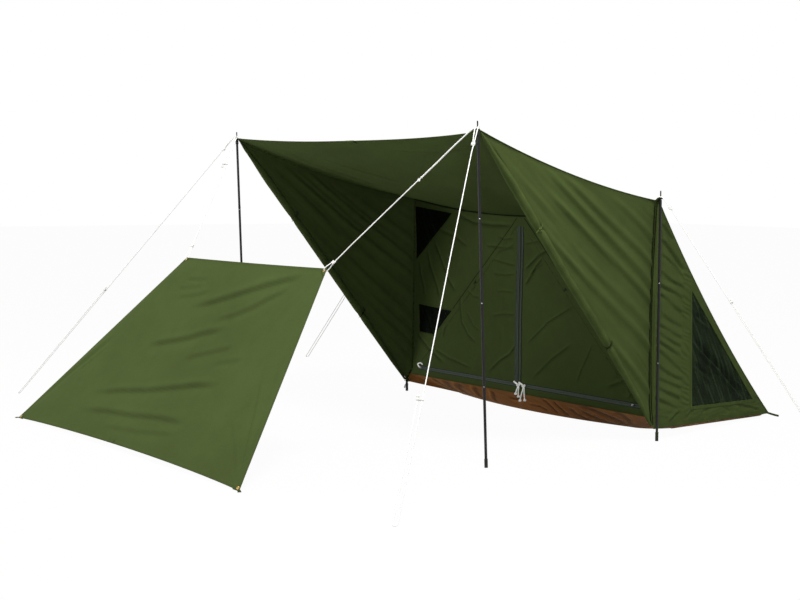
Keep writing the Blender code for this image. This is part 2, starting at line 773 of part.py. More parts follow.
def add_side_walls(parent):
    front = side_run(SEAM)
    stop = 1.0 - 4.0 * SEAM / BODY_DEPTH
    slope = []
    for k in range(REAR_ROWS, -1, -1):
        v = stop * k / REAR_ROWS
        here = rear_point(1.0, v)
        ahead = rear_point(1.0, min(1.0, v + 0.01)) - rear_point(1.0, max(0.0, v - 0.01))
        inner = Vector((ahead.z, -ahead.y)).normalized()
        edge = Vector((here.y, here.z)) + inner * (0.5 * CLOTH + 3.0 * SEAM)
        slope.append((side_run(max(edge.x, SEAM)), edge.y))
    hem = [(side_run(share * BODY_DEPTH), hem_height(share * BODY_DEPTH)) for share in HEM_STATIONS]
    outline = [(front, hem_height(0.0))] + hem + slope
    window = [(side_run(y * BODY_DEPTH), z * RIDGE_CLOTH) for y, z in SIDE_WINDOW]
    for side, word in ((-1, "left"), (1, "right")):
        frame = side_frame(side)
        flat_sheet(f"side_wall_{word}", outline, [window], frame, CLOTH, olive_cloth(), parent)
        net = inset(window, SEAM)
        flat_sheet(f"side_window_net_{word}", net, [], frame, NETTING, dark_netting(), parent)


# Groundsheet

def add_groundsheet(parent):
    """A floor tray: a flat bottom on the ground with walls that lean out to the hems."""
    rim_gap = 0.5 * CLOTH + SEAM
    corner = Vector((FLOOR_HALF - FLOOR_CORNER[0], FLOOR_FRONT + FLOOR_CORNER[1], 0.0))
    rim = []
    floor = []
    for x in FLOOR_SHARES:
        rim.append(Vector((x * (WALL_HALF - 2.0 * rim_gap), rim_gap, SILL_HEM - SEAM)))
        floor.append(Vector((x * corner.x, FLOOR_FRONT - FLOOR_BULGE * (1.0 - x * x), 0.0)))
    for y, turn in FLOOR_TURNS:
        bend = math.radians(turn)
        rim.append(Vector((wall_half(y) - 2.0 * rim_gap, y, hem_height(y) - SEAM)))
        floor.append(corner + Vector((FLOOR_CORNER[0] * math.sin(bend), -FLOOR_CORNER[1] * math.cos(bend), 0.0)))
    for y in (*FLOOR_STATIONS, FLOOR_BACK):
        rim.append(Vector((wall_half(y) - 2.0 * rim_gap, y, hem_height(y) - SEAM)))
        floor.append(Vector((FLOOR_HALF, y, 0.0)))
    rim += [Vector((-p.x, p.y, p.z)) for p in reversed(rim[1:])]
    floor += [Vector((-p.x, p.y, p.z)) for p in reversed(floor[1:])]
    count = len(rim)
    faces = [tuple(range(count - 1, -1, -1))]
    for k in range(count):
        n = (k + 1) % count
        faces.append((k, n, count + n, count + k))
    sheet = add_mesh("groundsheet", floor + rim, faces, brown_cloth(), parent)
    thicken(sheet, FLOOR_SHEET, offset=-1.0)


# Awning panel

def panel_point(u, v):
    """The panel's middle surface: u runs left to right, v from the top edge to the foot."""
    corners = [Vector(c) for c in (PANEL_TOP_LEFT, PANEL_TOP_RIGHT, PANEL_FOOT_LEFT, PANEL_FOOT_RIGHT)]
    top_left, top_right, foot_left, foot_right = corners
    top = top_left.lerp(top_right, u)
    foot = foot_left.lerp(foot_right, u)
    down = (foot - top).normalized()
    top += down * PANEL_TOP_CURVE * bow(u)
    foot -= down * PANEL_FOOT_CURVE * bow(u) ** 0.7
    across = (foot_right - foot_left).normalized()
    normal = down.cross(across).normalized()
    place = top.lerp(foot, v)
    rest = smooth(FOLD_RISE * (bow(v) - PANEL_FLAT)) * smooth(FOLD_RISE * (bow(u) - PANEL_FLAT))
    fold = PANEL_FOLD * math.sin(2.0 * math.pi * (PANEL_FOLD_COUNT * v + 1.2 * u))
    return place + normal * rest * (fold - PANEL_BELLY * bow(u) * bow(v))


def panel_corners():
    """Each corner's name, its eyelet's middle and the panel's normal there."""
    out = []
    for name, u, v in (("top_left", 0, 0), ("top_right", 1, 0), ("foot_left", 0, 1), ("foot_right", 1, 1)):
        corner = panel_point(u, v)
        along = (panel_point(1 - u, v) - corner).normalized()
        down = (panel_point(u, 1 - v) - corner).normalized()
        half = 0.5 * along.angle(down)
        inwards = (along + down).normalized()
        normal = along.cross(down).normalized()
        if normal.y > 0.0:
            normal = -normal
        out.append((name, corner + inwards * EYELET_INSET / math.sin(half), normal))
    return out


def add_panel(parent):
    panel = cloth_grid("awning_panel", panel_point, PANEL_STEPS, PANEL_ROWS, olive_cloth(), parent)
    half = 0.5 * CLOTH + TOUCH
    lip = half + EYELET_LIP
    for name, middle, normal in panel_corners():
        hole = EYELET_WAIST + TOUCH
        profile = [(0.0, -CUTTER_HALF), (hole, -CUTTER_HALF), (hole, CUTTER_HALF), (0.0, CUTTER_HALF)]
        cutter = turned(f"eyelet_hole_{name}", profile, EYELET_SIDES, brass(), parent)
        stand_on_axis(cutter, middle, middle + normal)
        cut_with(panel, cutter)
        profile = [(EYELET_BORE, lip), (EYELET_BORE, -lip), (EYELET_FLANGE, -lip), (EYELET_FLANGE, -half)]
        profile += [(EYELET_WAIST, -half), (EYELET_WAIST, half), (EYELET_FLANGE, half), (EYELET_FLANGE, lip)]
        ring = turned(f"panel_eyelet_{name}", profile, EYELET_SIDES, brass(), parent, closed=True)
        stand_on_axis(ring, middle, middle + normal)


# Guylines

def loop_points(middle, away, across, radius):
    """Half a turn about a middle, from +across round the far side to -across."""
    turns = [math.radians(a) for a in (90, 45, 0, -45, -90)]
    return [middle + across * radius * math.sin(t) - away * radius * math.cos(t) for t in turns]


def pin_strands(pin, lead, target):
    """The level loop round a pole pin: directions, the loop, and where its strands turn down."""
    level = Vector((target.x - pin.x, target.y - pin.y, 0.0)).normalized()
    across = level.cross(Vector((0.0, 0.0, 1.0)))
    loop = loop_points(pin, level, across, PIN_LOOP)
    loop.insert(0, pin + across * PIN_LOOP + level * lead * LEVEL_SHARE)
    loop.append(pin - across * PIN_LOOP + level * lead * LEVEL_SHARE)
    bend = pin + level * lead
    down = (target - bend).normalized()
    return across, loop, bend, down


def peg_line(pin, lead, peg, knot, runner, hand):
    """A guyline: a knotted loop on the pin, a runner, and a doubled end that loops at the peg.

    The single run and the strand below its runner lie on one straight line, and the strand that
    comes back from the peg lies on the side that hand gives.
    """
    target = Vector((*peg, LAY_HEIGHT))
    across, loop, bend, down = pin_strands(pin, lead, target)
    back = across * 2.0 * LOOP_RADIUS * hand
    tied = bend + down * knot
    slide = bend + down * runner
    apart = slide + down * (RUNNER_TRAVEL + STRAND_EASE)
    turn_middle = target + 0.5 * back - down * LOOP_RADIUS
    turn = loop_points(turn_middle, -down, across * hand, LOOP_RADIUS)
    turned_down = bend + down * LOOP_LEAD
    points = [tied + across * KNOT_HALF, turned_down + across * PIN_LOOP]
    points += loop
    points += [turned_down - across * PIN_LOOP, tied - across * KNOT_HALF]
    points += [tied + down * STRAND_EASE, slide - down * STRAND_EASE, slide, apart]
    points += [target - down * PEG_LEAD]
    points += list(reversed(turn))
    points += [target - down * PEG_LEAD + back, apart + back]
    points += [slide + back, slide - down * ROPE_END + back]
    return points, slide + 0.5 * back, down, across


def panel_line(pin, lead, eyelet, normal, knot, runner):
    """A panel's line: a knotted loop through the eyelet, a runner and a doubled end on the pin."""
    across, loop, bend, down = pin_strands(pin, lead, eyelet)
    wide = across * LOOP_RADIUS
    ease = EYELET_BORE - ROPE_RADIUS - 2.0 * ROPE_CLEAR
    through = eyelet - down * ease
    face = (normal - down * normal.dot(down)).normalized()
    turn = loop_points(through - down * LOOP_RADIUS, -down, face, LOOP_RADIUS)
    tied = eyelet - down * knot
    slide = bend + down * runner
    near = eyelet - down * EYELET_LEAD
    apart = slide - down * (PANEL_RUNNER_TRAVEL + 0.5 * STRAND_EASE)
    turned_down = bend + down * LOOP_LEAD
    points = [tied + face * KNOT_HALF, near + face * LOOP_RADIUS * NEAR_SHARE]
    points += turn
    points += [near - face * LOOP_RADIUS * NEAR_SHARE, tied - face * KNOT_HALF]
    points += [slide.lerp(tied, 0.5) - across * lerp(KNOT_HALF, LOOP_RADIUS, 0.5)]
    points += [slide + down * STRAND_EASE - wide, slide - wide, apart - wide]
    points += [turned_down - across * PIN_LOOP]
    points += list(reversed(loop))
    points += [turned_down + across * PIN_LOOP]
    points += [apart + wide, slide + wide, slide + down * ROPE_END + wide]
    return points, slide, down, across


def runner_outline():
    """A guyline runner with round ends, seen along the rope."""
    reach = 0.5 * (RUNNER_WIDTH - RUNNER_DEPTH)
    outline = []
    for side in (1, -1):
        for k in range(7):
            turn = math.radians(-90.0 + 30.0 * k)
            x = side * (reach + 0.5 * RUNNER_DEPTH * math.cos(turn))
            outline.append((x, side * 0.5 * RUNNER_DEPTH * math.sin(turn)))
    holes = []
    for side in (1, -1):
        ring = [2.0 * math.pi * k / RUNNER_SIDES for k in range(RUNNER_SIDES)]
        holes.append([(side * LOOP_RADIUS + RUNNER_BORE * math.cos(t), RUNNER_BORE * math.sin(t)) for t in ring])
    return outline, holes


def lead_off_cloth(pin, target, lip, edges):
    """Level run that takes both strands of a loop past the nearest of the cloth's edges."""
    level = Vector((target[0] - pin.x, target[1] - pin.y, 0.0)).normalized()
    runs = []
    for edge in edges:
        facing = level.dot(edge)
        if facing > FACING:
            runs.append((lip + PIN_LOOP * level.cross(edge).length) / facing)
    return min(runs) + ROPE_TURN


def add_guylines(parent):
    step = 2.0 * ROPE_RADIUS + 2.0 * ROPE_CLEAR
    corners = {name: (middle, normal) for name, middle, normal in panel_corners()}
    above = 0.5 * CLOTH + ROPE_RADIUS + ROPE_CLEAR + SEAT_EASE
    front = Vector((0.0, -1.0, 0.0))
    rise = (CANOPY_HEIGHT - RIDGE_CLOTH + 4.0 * SIDE_SAG) / CANOPY_REACH
    seat = roof_height(CANOPY_HALF, -CANOPY_REACH) + rise * CORNER_LIP + above
    ridge_lip = WALL_HALF + TAB_REACH - RIDGE_POLE_HALF
    ridge_seat = tab_height(WALL_HALF + TAB_REACH, 0.0) + above
    lines = {}
    for side, word, peg, runner, ridge_peg, panel_knot, panel_runner in (
        (-1, "left", FRONT_LEFT_PEG, FRONT_LEFT_RUNNER, RIDGE_LEFT_PEG, PANEL_LEFT_KNOT, PANEL_LEFT_RUNNER),
        (1, "right", FRONT_RIGHT_PEG, FRONT_RIGHT_RUNNER, RIDGE_RIGHT_PEG, PANEL_RIGHT_KNOT, PANEL_RIGHT_RUNNER),
    ):
        out = Vector((side, 0.0, 0.0))
        pin = on_pole(canopy_pole_line(side), seat)
        middle, normal = corners[f"top_{word}"]
        lead = lead_off_cloth(pin, middle, CORNER_LIP, (front,))
        lines[f"panel_{word}"] = panel_line(pin, lead, middle, normal, panel_knot, panel_runner)
        pin = on_pole(canopy_pole_line(side), seat + step)
        lead = lead_off_cloth(pin, peg, CORNER_LIP, (front, out))
        lines[f"front_{word}"] = peg_line(pin, lead, peg, CORNER_KNOT, runner, side)
        pin = on_pole(ridge_pole_line(side), ridge_seat)
        lead = lead_off_cloth(pin, ridge_peg, ridge_lip, (out,))
        lines[f"ridge_{word}"] = peg_line(pin, lead, ridge_peg, RIDGE_KNOT, RIDGE_RUNNER, -side)
    outline, holes = runner_outline()
    for word, (points, slide, down, across) in lines.items():
        tube(f"guyline_{word}", smooth_route(points), ROPE_RADIUS, white_cord(), parent)
        frame = Matrix((across, down.cross(across), down)).transposed().to_4x4()
        name = f"runner_{word}"
        runner = flat_sheet(name, outline, holes, frame, RUNNER_THICK, white_plastic(), parent)
        runner.location = slide


def main():
    clear_scene()
    layout = bpy.data.objects.new("ridge_layout", None)
    layout.location = (0.0, -ORIGIN_BACK, 0.0)
    bpy.context.scene.collection.objects.link(layout)
    add_poles(layout)
    add_roof(layout)
    add_wings(layout)
    add_front_wall(layout)
    add_sliders(layout)
    add_side_walls(layout)
    add_groundsheet(layout)
    add_panel(layout)
    add_guylines(layout)
    bpy.context.view_layer.update()


main()
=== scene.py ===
import math

import bpy
from bpy.props import FloatProperty, FloatVectorProperty, IntProperty, PointerProperty
from mathutils import Matrix, Vector, geometry, kdtree, noise


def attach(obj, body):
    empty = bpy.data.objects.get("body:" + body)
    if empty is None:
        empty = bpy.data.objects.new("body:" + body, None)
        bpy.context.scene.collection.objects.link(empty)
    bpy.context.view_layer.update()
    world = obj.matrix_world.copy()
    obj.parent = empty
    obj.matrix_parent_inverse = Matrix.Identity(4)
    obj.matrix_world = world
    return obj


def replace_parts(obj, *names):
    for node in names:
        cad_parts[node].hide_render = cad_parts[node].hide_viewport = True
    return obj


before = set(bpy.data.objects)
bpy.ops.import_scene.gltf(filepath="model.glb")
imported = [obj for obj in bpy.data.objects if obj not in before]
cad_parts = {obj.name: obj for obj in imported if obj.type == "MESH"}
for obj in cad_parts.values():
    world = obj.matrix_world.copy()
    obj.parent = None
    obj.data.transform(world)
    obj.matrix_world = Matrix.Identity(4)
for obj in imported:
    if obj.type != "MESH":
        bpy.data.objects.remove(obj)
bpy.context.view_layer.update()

bl_info = {
    "name": "Pup Tent Surfaces",
    "version": (1, 0, 0),
    "blender": (4, 5, 0),
    "location": "3D View > Sidebar > Tent",
    "description": "Cloth, netting, zips, poles and lines of a pup tent with a raised canopy",
    "category": "Add Mesh",
}

# Frame of the object: shapes are in ridge coordinates, where y = 0 is the ridge line
ORIGIN_BACK = 0.72
SHIFT = Vector((0.0, -ORIGIN_BACK, 0.0))
UP = Vector((0.0, 0.0, 1.0))
OUT = Vector((0.0, -1.0, 0.0))
LEVEL = Vector((1.0, 0.0, 0.0))
FULL_TURN = 2.0 * math.pi
CAD_CLOTH = 0.003
SEAM = 0.0005
TOUCH = 0.0003

# Tent body
WALL_HALF = 1.268
RIDGE_CLOTH = 1.505
RIDGE_SAG = 0.116
BODY_DEPTH = 1.381
REAR_HALF = 1.085
REAR_HEM = 0.022
REAR_SAG = 0.050
CORNER_HEM = 0.074

# Canopy
CANOPY_HALF = 1.291
CANOPY_REACH = 1.505
CANOPY_HEIGHT = 1.902
CORNER_LIP = 0.007
FRONT_SAG = 0.043
SIDE_SAG = 0.046
ROOF_SLOPE = (CANOPY_HEIGHT - RIDGE_CLOTH + 4.0 * SIDE_SAG) / CANOPY_REACH

# Wings
WING_INSET = 0.012
WING_FOOT = 0.068
WING_CURVE = 0.006
ROLL_RADIUS = 0.019
ROLL_END_RADIUS = 0.009
ROLL_START = 0.045
ROLL_STOP = 0.984
ROLL_SWELL = (0.12, 0.10)
ROLL_LOOSE = 1.38           # the soft roll's radius against the solid one
TIES = (0.303, 0.700)       # where the soft roll is tied
TIE_PINCH = 0.26
# How far the wings' seams lie inside the corners at top, foot and middle, and over what depth they turn in
SEAM_TUCK = {"left": (0.083, 0.070, 0.0, 0.50), "right": (0.012, 0.004, 0.030, 0.24)}
PINCH_LENGTH = 0.014

# Front wall
SILL_HEM = 0.142
ZIP_HALF = 0.027
ZIP_LOW = 0.204
ZIP_TOP = 1.314
DOOR_HALF = 1.133
DOOR_GAP = 0.0005
ZIP_GAP = 0.0015
DOOR_TIP = 0.006
UPPER_WINDOW = ((0.752, 0.120), (1.184, 0.077), (1.164, 0.477))
LOWER_WINDOW = ((0.737, 0.841), (1.132, 0.818), (1.117, 1.026), (0.938, 1.034))
SIDE_WINDOW = ((0.2810, 0.6160), (0.3056, 0.1150), (0.8400, 0.0957))

# Groundsheet
FLOOR_LIFT = 0.0022
FLOOR_MIDDLE = Vector((0.0, 0.75, 0.0))
FLOOR_FRONT = 0.245
FLOOR_BULGE = 0.100
FLOOR_BACK = 1.325
FLOOR_HALF = 1.042
FLOOR_CORNER = (0.200, 0.305)
FLOOR_TURNS = ((0.002, 25.0), (0.08, 45.0), (0.20, 65.0), (0.40, 90.0))
FLOOR_STATIONS = (0.60, 0.85, 1.10)

# Poles
POLE_RADIUS = 0.008
PIN_RADIUS = 0.004
CANOPY_FOOT_HALF = 1.303
CANOPY_FOOT_REACH = 1.417
RIDGE_POLE_HALF = 1.281
RIDGE_FOOT_HALF = 1.286
RIDGE_FOOT_BACK = 0.014
CAP_RADIUS = 0.010
CAP_FLOOR = 0.006
TAB_LENGTH = 0.090
TAB_REACH = 0.022
TAB_LIFT = 0.010
TAB_EASE = 0.0010
TAB_FRONT = 0.024
TAB_BACK = 0.012

# Awning panel
PANEL_TOP_LEFT = (-0.925, -2.100, 1.101)
PANEL_TOP_RIGHT = (0.684, -2.090, 1.114)
PANEL_FOOT_LEFT = (-1.735, -2.938, 0.004)
PANEL_FOOT_RIGHT = (1.050, -2.884, 0.004)
PANEL_TOP_CURVE = 0.004
PANEL_FOOT_CURVE = 0.034
PANEL_BELLY = 0.020
PANEL_FLAT = 0.27
FOLD_RISE = 1.8
EYELET_INSET = 0.016
EYELET_BORE = 0.0052
EYELET_CLEAR = 0.0078       # round an eyelet, free of its patch

# Guylines
ROPE_RADIUS = 0.003
LOOP_RADIUS = 0.012
ROPE_CLEAR = 0.0006
PIN_LOOP = PIN_RADIUS + ROPE_RADIUS + 0.0010
SEAT_EASE = 0.0016
ROPE_TURN = 0.005
LEVEL_SHARE = 0.6
FACING = 0.2
LOOP_LEAD = 0.025
EYELET_LEAD = 0.035
NEAR_SHARE = 0.9
STRAND_EASE = 0.060
PEG_LEAD = 0.100
KNOT_HALF = 0.0037
KNOT_SHARE = 0.92           # of the line's radius where it is wound tight
ROPE_END = 0.022
LAY_HEIGHT = 0.0036
PEGS = {"left": (-2.801, -2.493), "right": (2.104, -2.659)}
RIDGE_PEGS = {"left": (-3.478, 0.527), "right": (2.295, 0.400)}
CORNER_KNOT = 0.122
RIDGE_KNOT = 0.083
PANEL_KNOTS = {"left": 0.115, "right": 0.072}
FRONT_RUNNERS = {"left": 1.519, "right": 1.702}
RIDGE_RUNNER = 0.776
PANEL_RUNNERS = {"left": 0.247, "right": 0.398}
RUNNER_WIDTH = 0.038
RUNNER_DEPTH = 0.013
RUNNER_THICK = 0.005
RUNNER_BORE = 0.0037
RUNNER_TRAVEL = 0.250
PANEL_RUNNER_TRAVEL = 0.080

# Zip sliders
SLIDER_LIFT = 0.016
SLIDER_POINT = 0.040
UPRIGHT_TAPES = {"left": {"wall": 0.030, "door": 0.005}, "right": {"wall": 0.016, "door": 0.008}}
ZIP_ENDS = {"left": 1.112, "right": 1.215}
SEAM_AWAY = 0.040           # from a door's edge to the stitched line above it
ZIP_FACE = 0.0062           # from the wall's middle to a slider's
PULL_RADIUS = 0.0042
# How far each end of a pull hangs to the right of the slider and below it
PULL_ENDS = {"left": ((0.022, 0.080), (0.052, 0.096)), "right": ((0.016, 0.122), (0.064, 0.114))}

# Making
SIDES = ((-1, "left"), (1, "right"))
CLOTH = 0.0012              # thickness of the sewn cloth
NET = 0.0008
NET_LAP = 0.006             # of the netting under its window's edge
NET_BEHIND = 0.0016
HEM = 0.014                 # width of a turned hem
GRAIN = 0.013               # size of a cloth mesh's cells
FINE = 0.0100
TRIANGLE = 0.866            # height of an even triangle
EDGE_STEP = 0.004
TAPE = 0.016                # half width of a zip tape
PLEAT_TURN = 0.74           # share of a pleat where it sinks
CREASE_FADE = 1.6
FULL_CREASE = 0.004         # rise of a crease whose painted shade is full

# Stage
CAMERA_TURNS = (52.5869, 4.7314, 0.5531)    # yaw, pitch and roll in degrees
CAMERA_PLACE = (7.1739, -7.2531, 1.59)
FLOOR_REACH = 40.0
FLOOR_DROP = 0.0006
WHITE_SHARE = 0.93          # of the white ground in what the camera and glossy rays see

# Finishes
STITCH = 0.0048             # length of a stitch
THREAD = 0.0006             # half width of a row of stitches
NET_RIM = 0.010             # closed edge of the netting
LIT_GAIN = 4.6              # painted light: how much the side netting's colour is raised for the light that falls through it
BRAID_PITCH = 0.010
BRAID_STRANDS = 4


# Small tools

def lerp(a, b, t):
    return a + (b - a) * t


def bow(t):
    """A parabola that is 0 at both ends and 1 in the middle."""
    return 4.0 * t * (1.0 - t)


def smooth(t):
    t = min(1.0, max(0.0, t))
    return t * t * (3.0 - 2.0 * t)


def shares(count):
    """The shares 0 to 1 at the ends of equal steps."""
    return [k / count for k in range(count + 1)]


def turns_of(count):
    """The angles of equal steps round a full turn."""
    return [FULL_TURN * k / count for k in range(count)]


def ripple(a, b, seed):
    return noise.noise(Vector((a, b, seed)))


def crease(a, b, seed):
    """Thin ridges between smooth fields, from 0 to 1."""
    return (1.0 - abs(ripple(a, b, seed))) ** 6


def ridged(turns):
    """A wave of narrow ridges and wide hollows, from -0.35 to 0.65."""
    return (0.5 + 0.5 * math.cos(FULL_TURN * turns)) ** 1.7 - 0.35


def pleated(turns):
    """A wave that sinks slowly and rises steeply, from 0 to 1."""
    share = turns % 1.0
    if share < PLEAT_TURN:
        return 1.0 - smooth(share / PLEAT_TURN)
    return smooth((share - PLEAT_TURN) / (1.0 - PLEAT_TURN))


def slanted(a, b, degrees):
    """Coordinates across and along a direction that leans by an angle."""
    turn = math.radians(degrees)
    return a * math.cos(turn) + b * math.sin(turn), b * math.cos(turn) - a * math.sin(turn)


def beside(a, b, points, squeeze):
    """For each stretch of a line: the distance from it, below zero under it, and the share of the line's length."""
    wide, high = squeeze
    for k, ((ax, ay), (bx, by)) in enumerate(zip(points, points[1:])):
        dx, dy = (bx - ax) * wide, (by - ay) * high
        px, py = (a - ax) * wide, (b - ay) * high
        t = min(1.0, max(0.0, (px * dx + py * dy) / (dx * dx + dy * dy)))
        ox, oy = px - t * dx, py - t * dy
        over = (oy * dx - ox * dy) * (1.0 if dx > 0.0 else -1.0)
        yield math.copysign(math.hypot(ox, oy), over), (k + t) / (len(points) - 1)


def creases(a, b, lines, squeeze=(1.0, 1.0)):
    """Height of the creases along lines: each rises above its line, sinks below it and fades at its ends."""
    total = 0.0
    for points, width, rise in lines:
        away, share = min(beside(a, b, points, squeeze), key=lambda spot: abs(spot[0]))
        d = away / width
        if abs(d) < 3.0:
            wave = rise * d * math.exp(0.5 - d * d) - 1.1 * abs(rise) * math.exp(-(d / 0.40) ** 2)
            total += wave * smooth(CREASE_FADE * bow(share))
    return total


def painted_crease_shade(a, b, lines, squeeze=(1.0, 1.0)):
    """Painted shade and highlight of creases: 1 in the bottom of a crease, where the colour is darkened, and below 0 on
    its raised side, where it is lightened.
    """
    deep, high = 0.0, 0.0
    for points, width, rise in lines:
        for away, share in beside(a, b, points, squeeze):
            d = away / math.copysign(width, rise)
            if abs(d) < 3.2:
                strong = smooth(CREASE_FADE * bow(share)) * min(1.0, abs(rise) / FULL_CREASE)
                # deep is the painted shade in a crease's bottom, high the painted highlight on its raised side
                deep = max(deep, strong * math.exp(-((d + 0.15) / (0.60 if d > 0.0 else 1.30)) ** 2))
                high = max(high, strong * math.exp(-((d - 1.45) / 0.75) ** 2))
    return deep - 0.45 * high


def settings():
    return bpy.context.scene.tent


def spaced(count, length=1.0):
    """Places along a side from 0 to 1, with close lines where its hems end."""
    hem = HEM / length
    inner = [hem * 0.12, hem * 0.9, hem * 1.1]
    middle = [lerp(hem * 1.1, 1.0 - hem * 1.1, t) for t in shares(count)[1:-1]]
    return [0.0, *inner, *middle, *[1.0 - t for t in reversed(inner)], 1.0]


def thousandths(rows):
    """Creases as (points, width, rise) from flat rows in thousandths."""
    return [([(x / 1000, y / 1000) for x, y in zip(flat[::2], flat[1::2])], width / 1000, rise / 1000)
            for flat, width, rise in rows]


# Folds and creases that the cloth shows, in thousandths

# Height at the corner seam, drift towards the point, start, stop, width, rise
WING_FOLDS = {word: [[number / 1000 for number in row] for row in rows] for word, rows in {
    "right": (
        (1265, 0, 0, 500, 28, 6), (1100, -30, 0, 900, 36, 11), (965, 10, 0, 1050, 34, 12),
        (865, -55, 0, 1000, 34, 12), (700, -120, 0, 800, 36, 9), (572, -120, 0, 1000, 38, 12),
        (440, -50, 0, 350, 26, 5), (290, -40, 0, 500, 34, 12), (690, -20, 850, 1400, 50, 10),
        (860, 0, 1000, 1300, 36, 7), (800, 30, 300, 700, 20, 4),
    ),
    "left": (
        (1165, -20, 0, 600, 32, 10), (1005, 0, 0, 1000, 30, 13), (885, -40, 0, 1200, 32, 13),
        (735, -20, 0, 700, 36, 9), (565, -30, 0, 700, 36, 10), (335, -20, 0, 450, 32, 12),
        (690, 0, 650, 1350, 60, 10), (1080, -20, 100, 800, 20, 6), (945, -20, 300, 1100, 20, 6),
        (440, 0, 0, 400, 28, 6),
    ),
}.items()}
FRONT_CREASES = thousandths((
    ((557, 805, 293, 664, 81, 488), 8, 2.6), ((538, 545, 340, 419, 137, 253), 10, 3),
    ((731, 575, 624, 380, 578, 281), 8, 2.6), ((301, 1167, 189, 1118, 109, 1058, 52, 1010), 10, 4.2),
    ((238, 1109, 159, 1038, 111, 968, 55, 897), 10, 4), ((250, 1075, 152, 1020, 80, 955), 7, 2),
    ((187, 1218, 138, 1205, 39, 1190), 8, 2.6), ((1075, 408, 987, 341, 850, 285), 10, 3.4),
    ((1094, 293, 1043, 236), 9, 3), ((-12, 492, -82, 412, -191, 351, -325, 249), 10, 3.4),
    ((-962, 1193, -862, 1033, -773, 892, -686, 801), 12, 4.8),
    ((-1039, 1111, -997, 990, -907, 835, -866, 740), 11, 4.6),
    ((-1127, 1020, -1105, 922, -1064, 825, -1062, 751), 11, 4.4),
    ((-640, 800, -638, 721, -617, 590, -541, 501, -448, 450), 9, 3.4), ((-805, 550, -841, 461), 10, 3.4),
    ((-566, 833, -492, 791, -419, 784), 8, 2.4), ((-581, 682, -484, 576, -413, 541), 8, 2),
    ((-726, 1394, -503, 1322, -306, 1310, -65, 1311), 12, 4.2), ((-915, 1262, -723, 1220, -554, 1143), 12, 3.2),
    ((-374, 1162, -233, 1156, -44, 1158), 9, 2.8), ((-301, 1072, -161, 1050, -41, 1033), 8, 2.8),
    ((-249, 1121, -146, 1148, -62, 1186), 9, 2.6), ((-234, 1231, -165, 1216, -63, 1226), 8, 2.6),
    ((-298, 967, -159, 964, -48, 976), 8, 2.2), ((-243, 843, -139, 850, -53, 844), 8, 2),
    ((-292, 664, -152, 687, -32, 691), 9, 2.2), ((-942, 364, -766, 311, -484, 258), 10, 3),
    ((-1154, 470, -1013, 364, -801, 258), 12, 3.8),
))
ROOF_CREASES = thousandths((
    ((-770, -660, -870, -960, -1050, -1340), 34, 11), ((-270, -820, -670, -1200), 26, -6),
    ((300, -1380, 760, -1300, 1150, -1400), 26, 5),
))
SIDE_CREASES = thousandths((
    ((30, 1275, 150, 1180, 310, 1045), 26, 7.5), ((30, 1370, 180, 1250), 18, 5),
    ((20, 1185, 200, 1090, 300, 1010), 18, 4), ((300, 167, 150, 92), 12, 3.6), ((465, 167, 360, 107), 12, 3),
    ((600, 160, 520, 95), 10, 2), ((930, 152, 1080, 107, 1275, 62), 12, 3.6), ((760, 150, 900, 90), 10, 2),
))
NET_CREASES = thousandths((
    ((405, 617, 600, 482, 720, 407, 900, 272, 1050, 167), 22, -20), ((435, 452, 660, 317), 16, -11),
    ((435, 767, 615, 677), 16, -9), ((400, 330, 480, 290), 10, -4),
))
# Along the sill and up its share
SILL_CREASES = thousandths((
    ((1255, 110, 1143, 570, 1023, 880, 916, 1000), 16, 7.5),
    ((1255, 40, 1084, 400, 901, 680, 743, 890, 582, 1000), 20, 11),
    ((1255, 10, 1084, 90, 901, 270, 743, 490, 631, 710), 18, 9.5),
    ((838, 70, 711, 210, 598, 450, 516, 740), 16, 8), ((549, 160, 466, 390, 399, 710, 348, 980), 15, 8.5),
    ((399, 140, 331, 510, 279, 840, 236, 960), 14, 7.5), ((262, 270, 175, 440, 33, 450), 12, 5),
    ((51, 830, -75, 560, -186, 560), 16, -7), ((-300, 900, -420, 500, -560, 100), 14, 7),
    ((-480, 950, -640, 550, -780, 120), 14, 7), ((-640, 1000, -860, 600, -1020, 150), 16, 8.5),
    ((-800, 980, -1000, 620, -1240, 80), 16, 8.5), ((-960, 1000, -1120, 600, -1250, 200), 14, 7.5),
))
PANEL_FOLDS = thousandths((
    ((898, 44, 780, 81, 664, 125, 547, 175, 437, 225, 312, 275), 36, 10),
    ((844, 112, 742, 175, 680, 225, 586, 281, 500, 319), 28, 6.5),
    ((610, 344, 500, 387, 437, 425, 350, 462, 258, 500), 34, 10), ((695, 431, 610, 469, 484, 531), 28, 6),
    ((780, 475, 650, 525), 22, 3.5), ((750, 612, 625, 644, 531, 681, 437, 719, 328, 750, 200, 800), 30, 10),
    ((703, 819, 586, 831, 469, 856, 350, 869, 234, 894), 30, 9), ((703, 875, 547, 919, 375, 944), 22, 4),
    ((156, 122, 297, 110), 16, 4.2), ((148, 180, 234, 162, 297, 147), 16, 3.8),
    ((203, 225, 280, 206, 367, 175), 20, 4.5), ((986, 970, 953, 775, 910, 525), 18, 7),
    ((990, 960, 977, 700, 965, 462), 16, 4.5), ((978, 965, 922, 850, 871, 750), 14, 3),
    ((8, 950, 23, 750, 47, 587, 70, 475), 30, 8.5), ((47, 775, 78, 600, 86, 537), 16, 4),
))


# Meshes

def add_object(name, mesh, material):
    piece = bpy.data.objects.new(name, mesh)
    mesh.materials.append(material)
    bpy.context.scene.collection.objects.link(piece)
    return piece


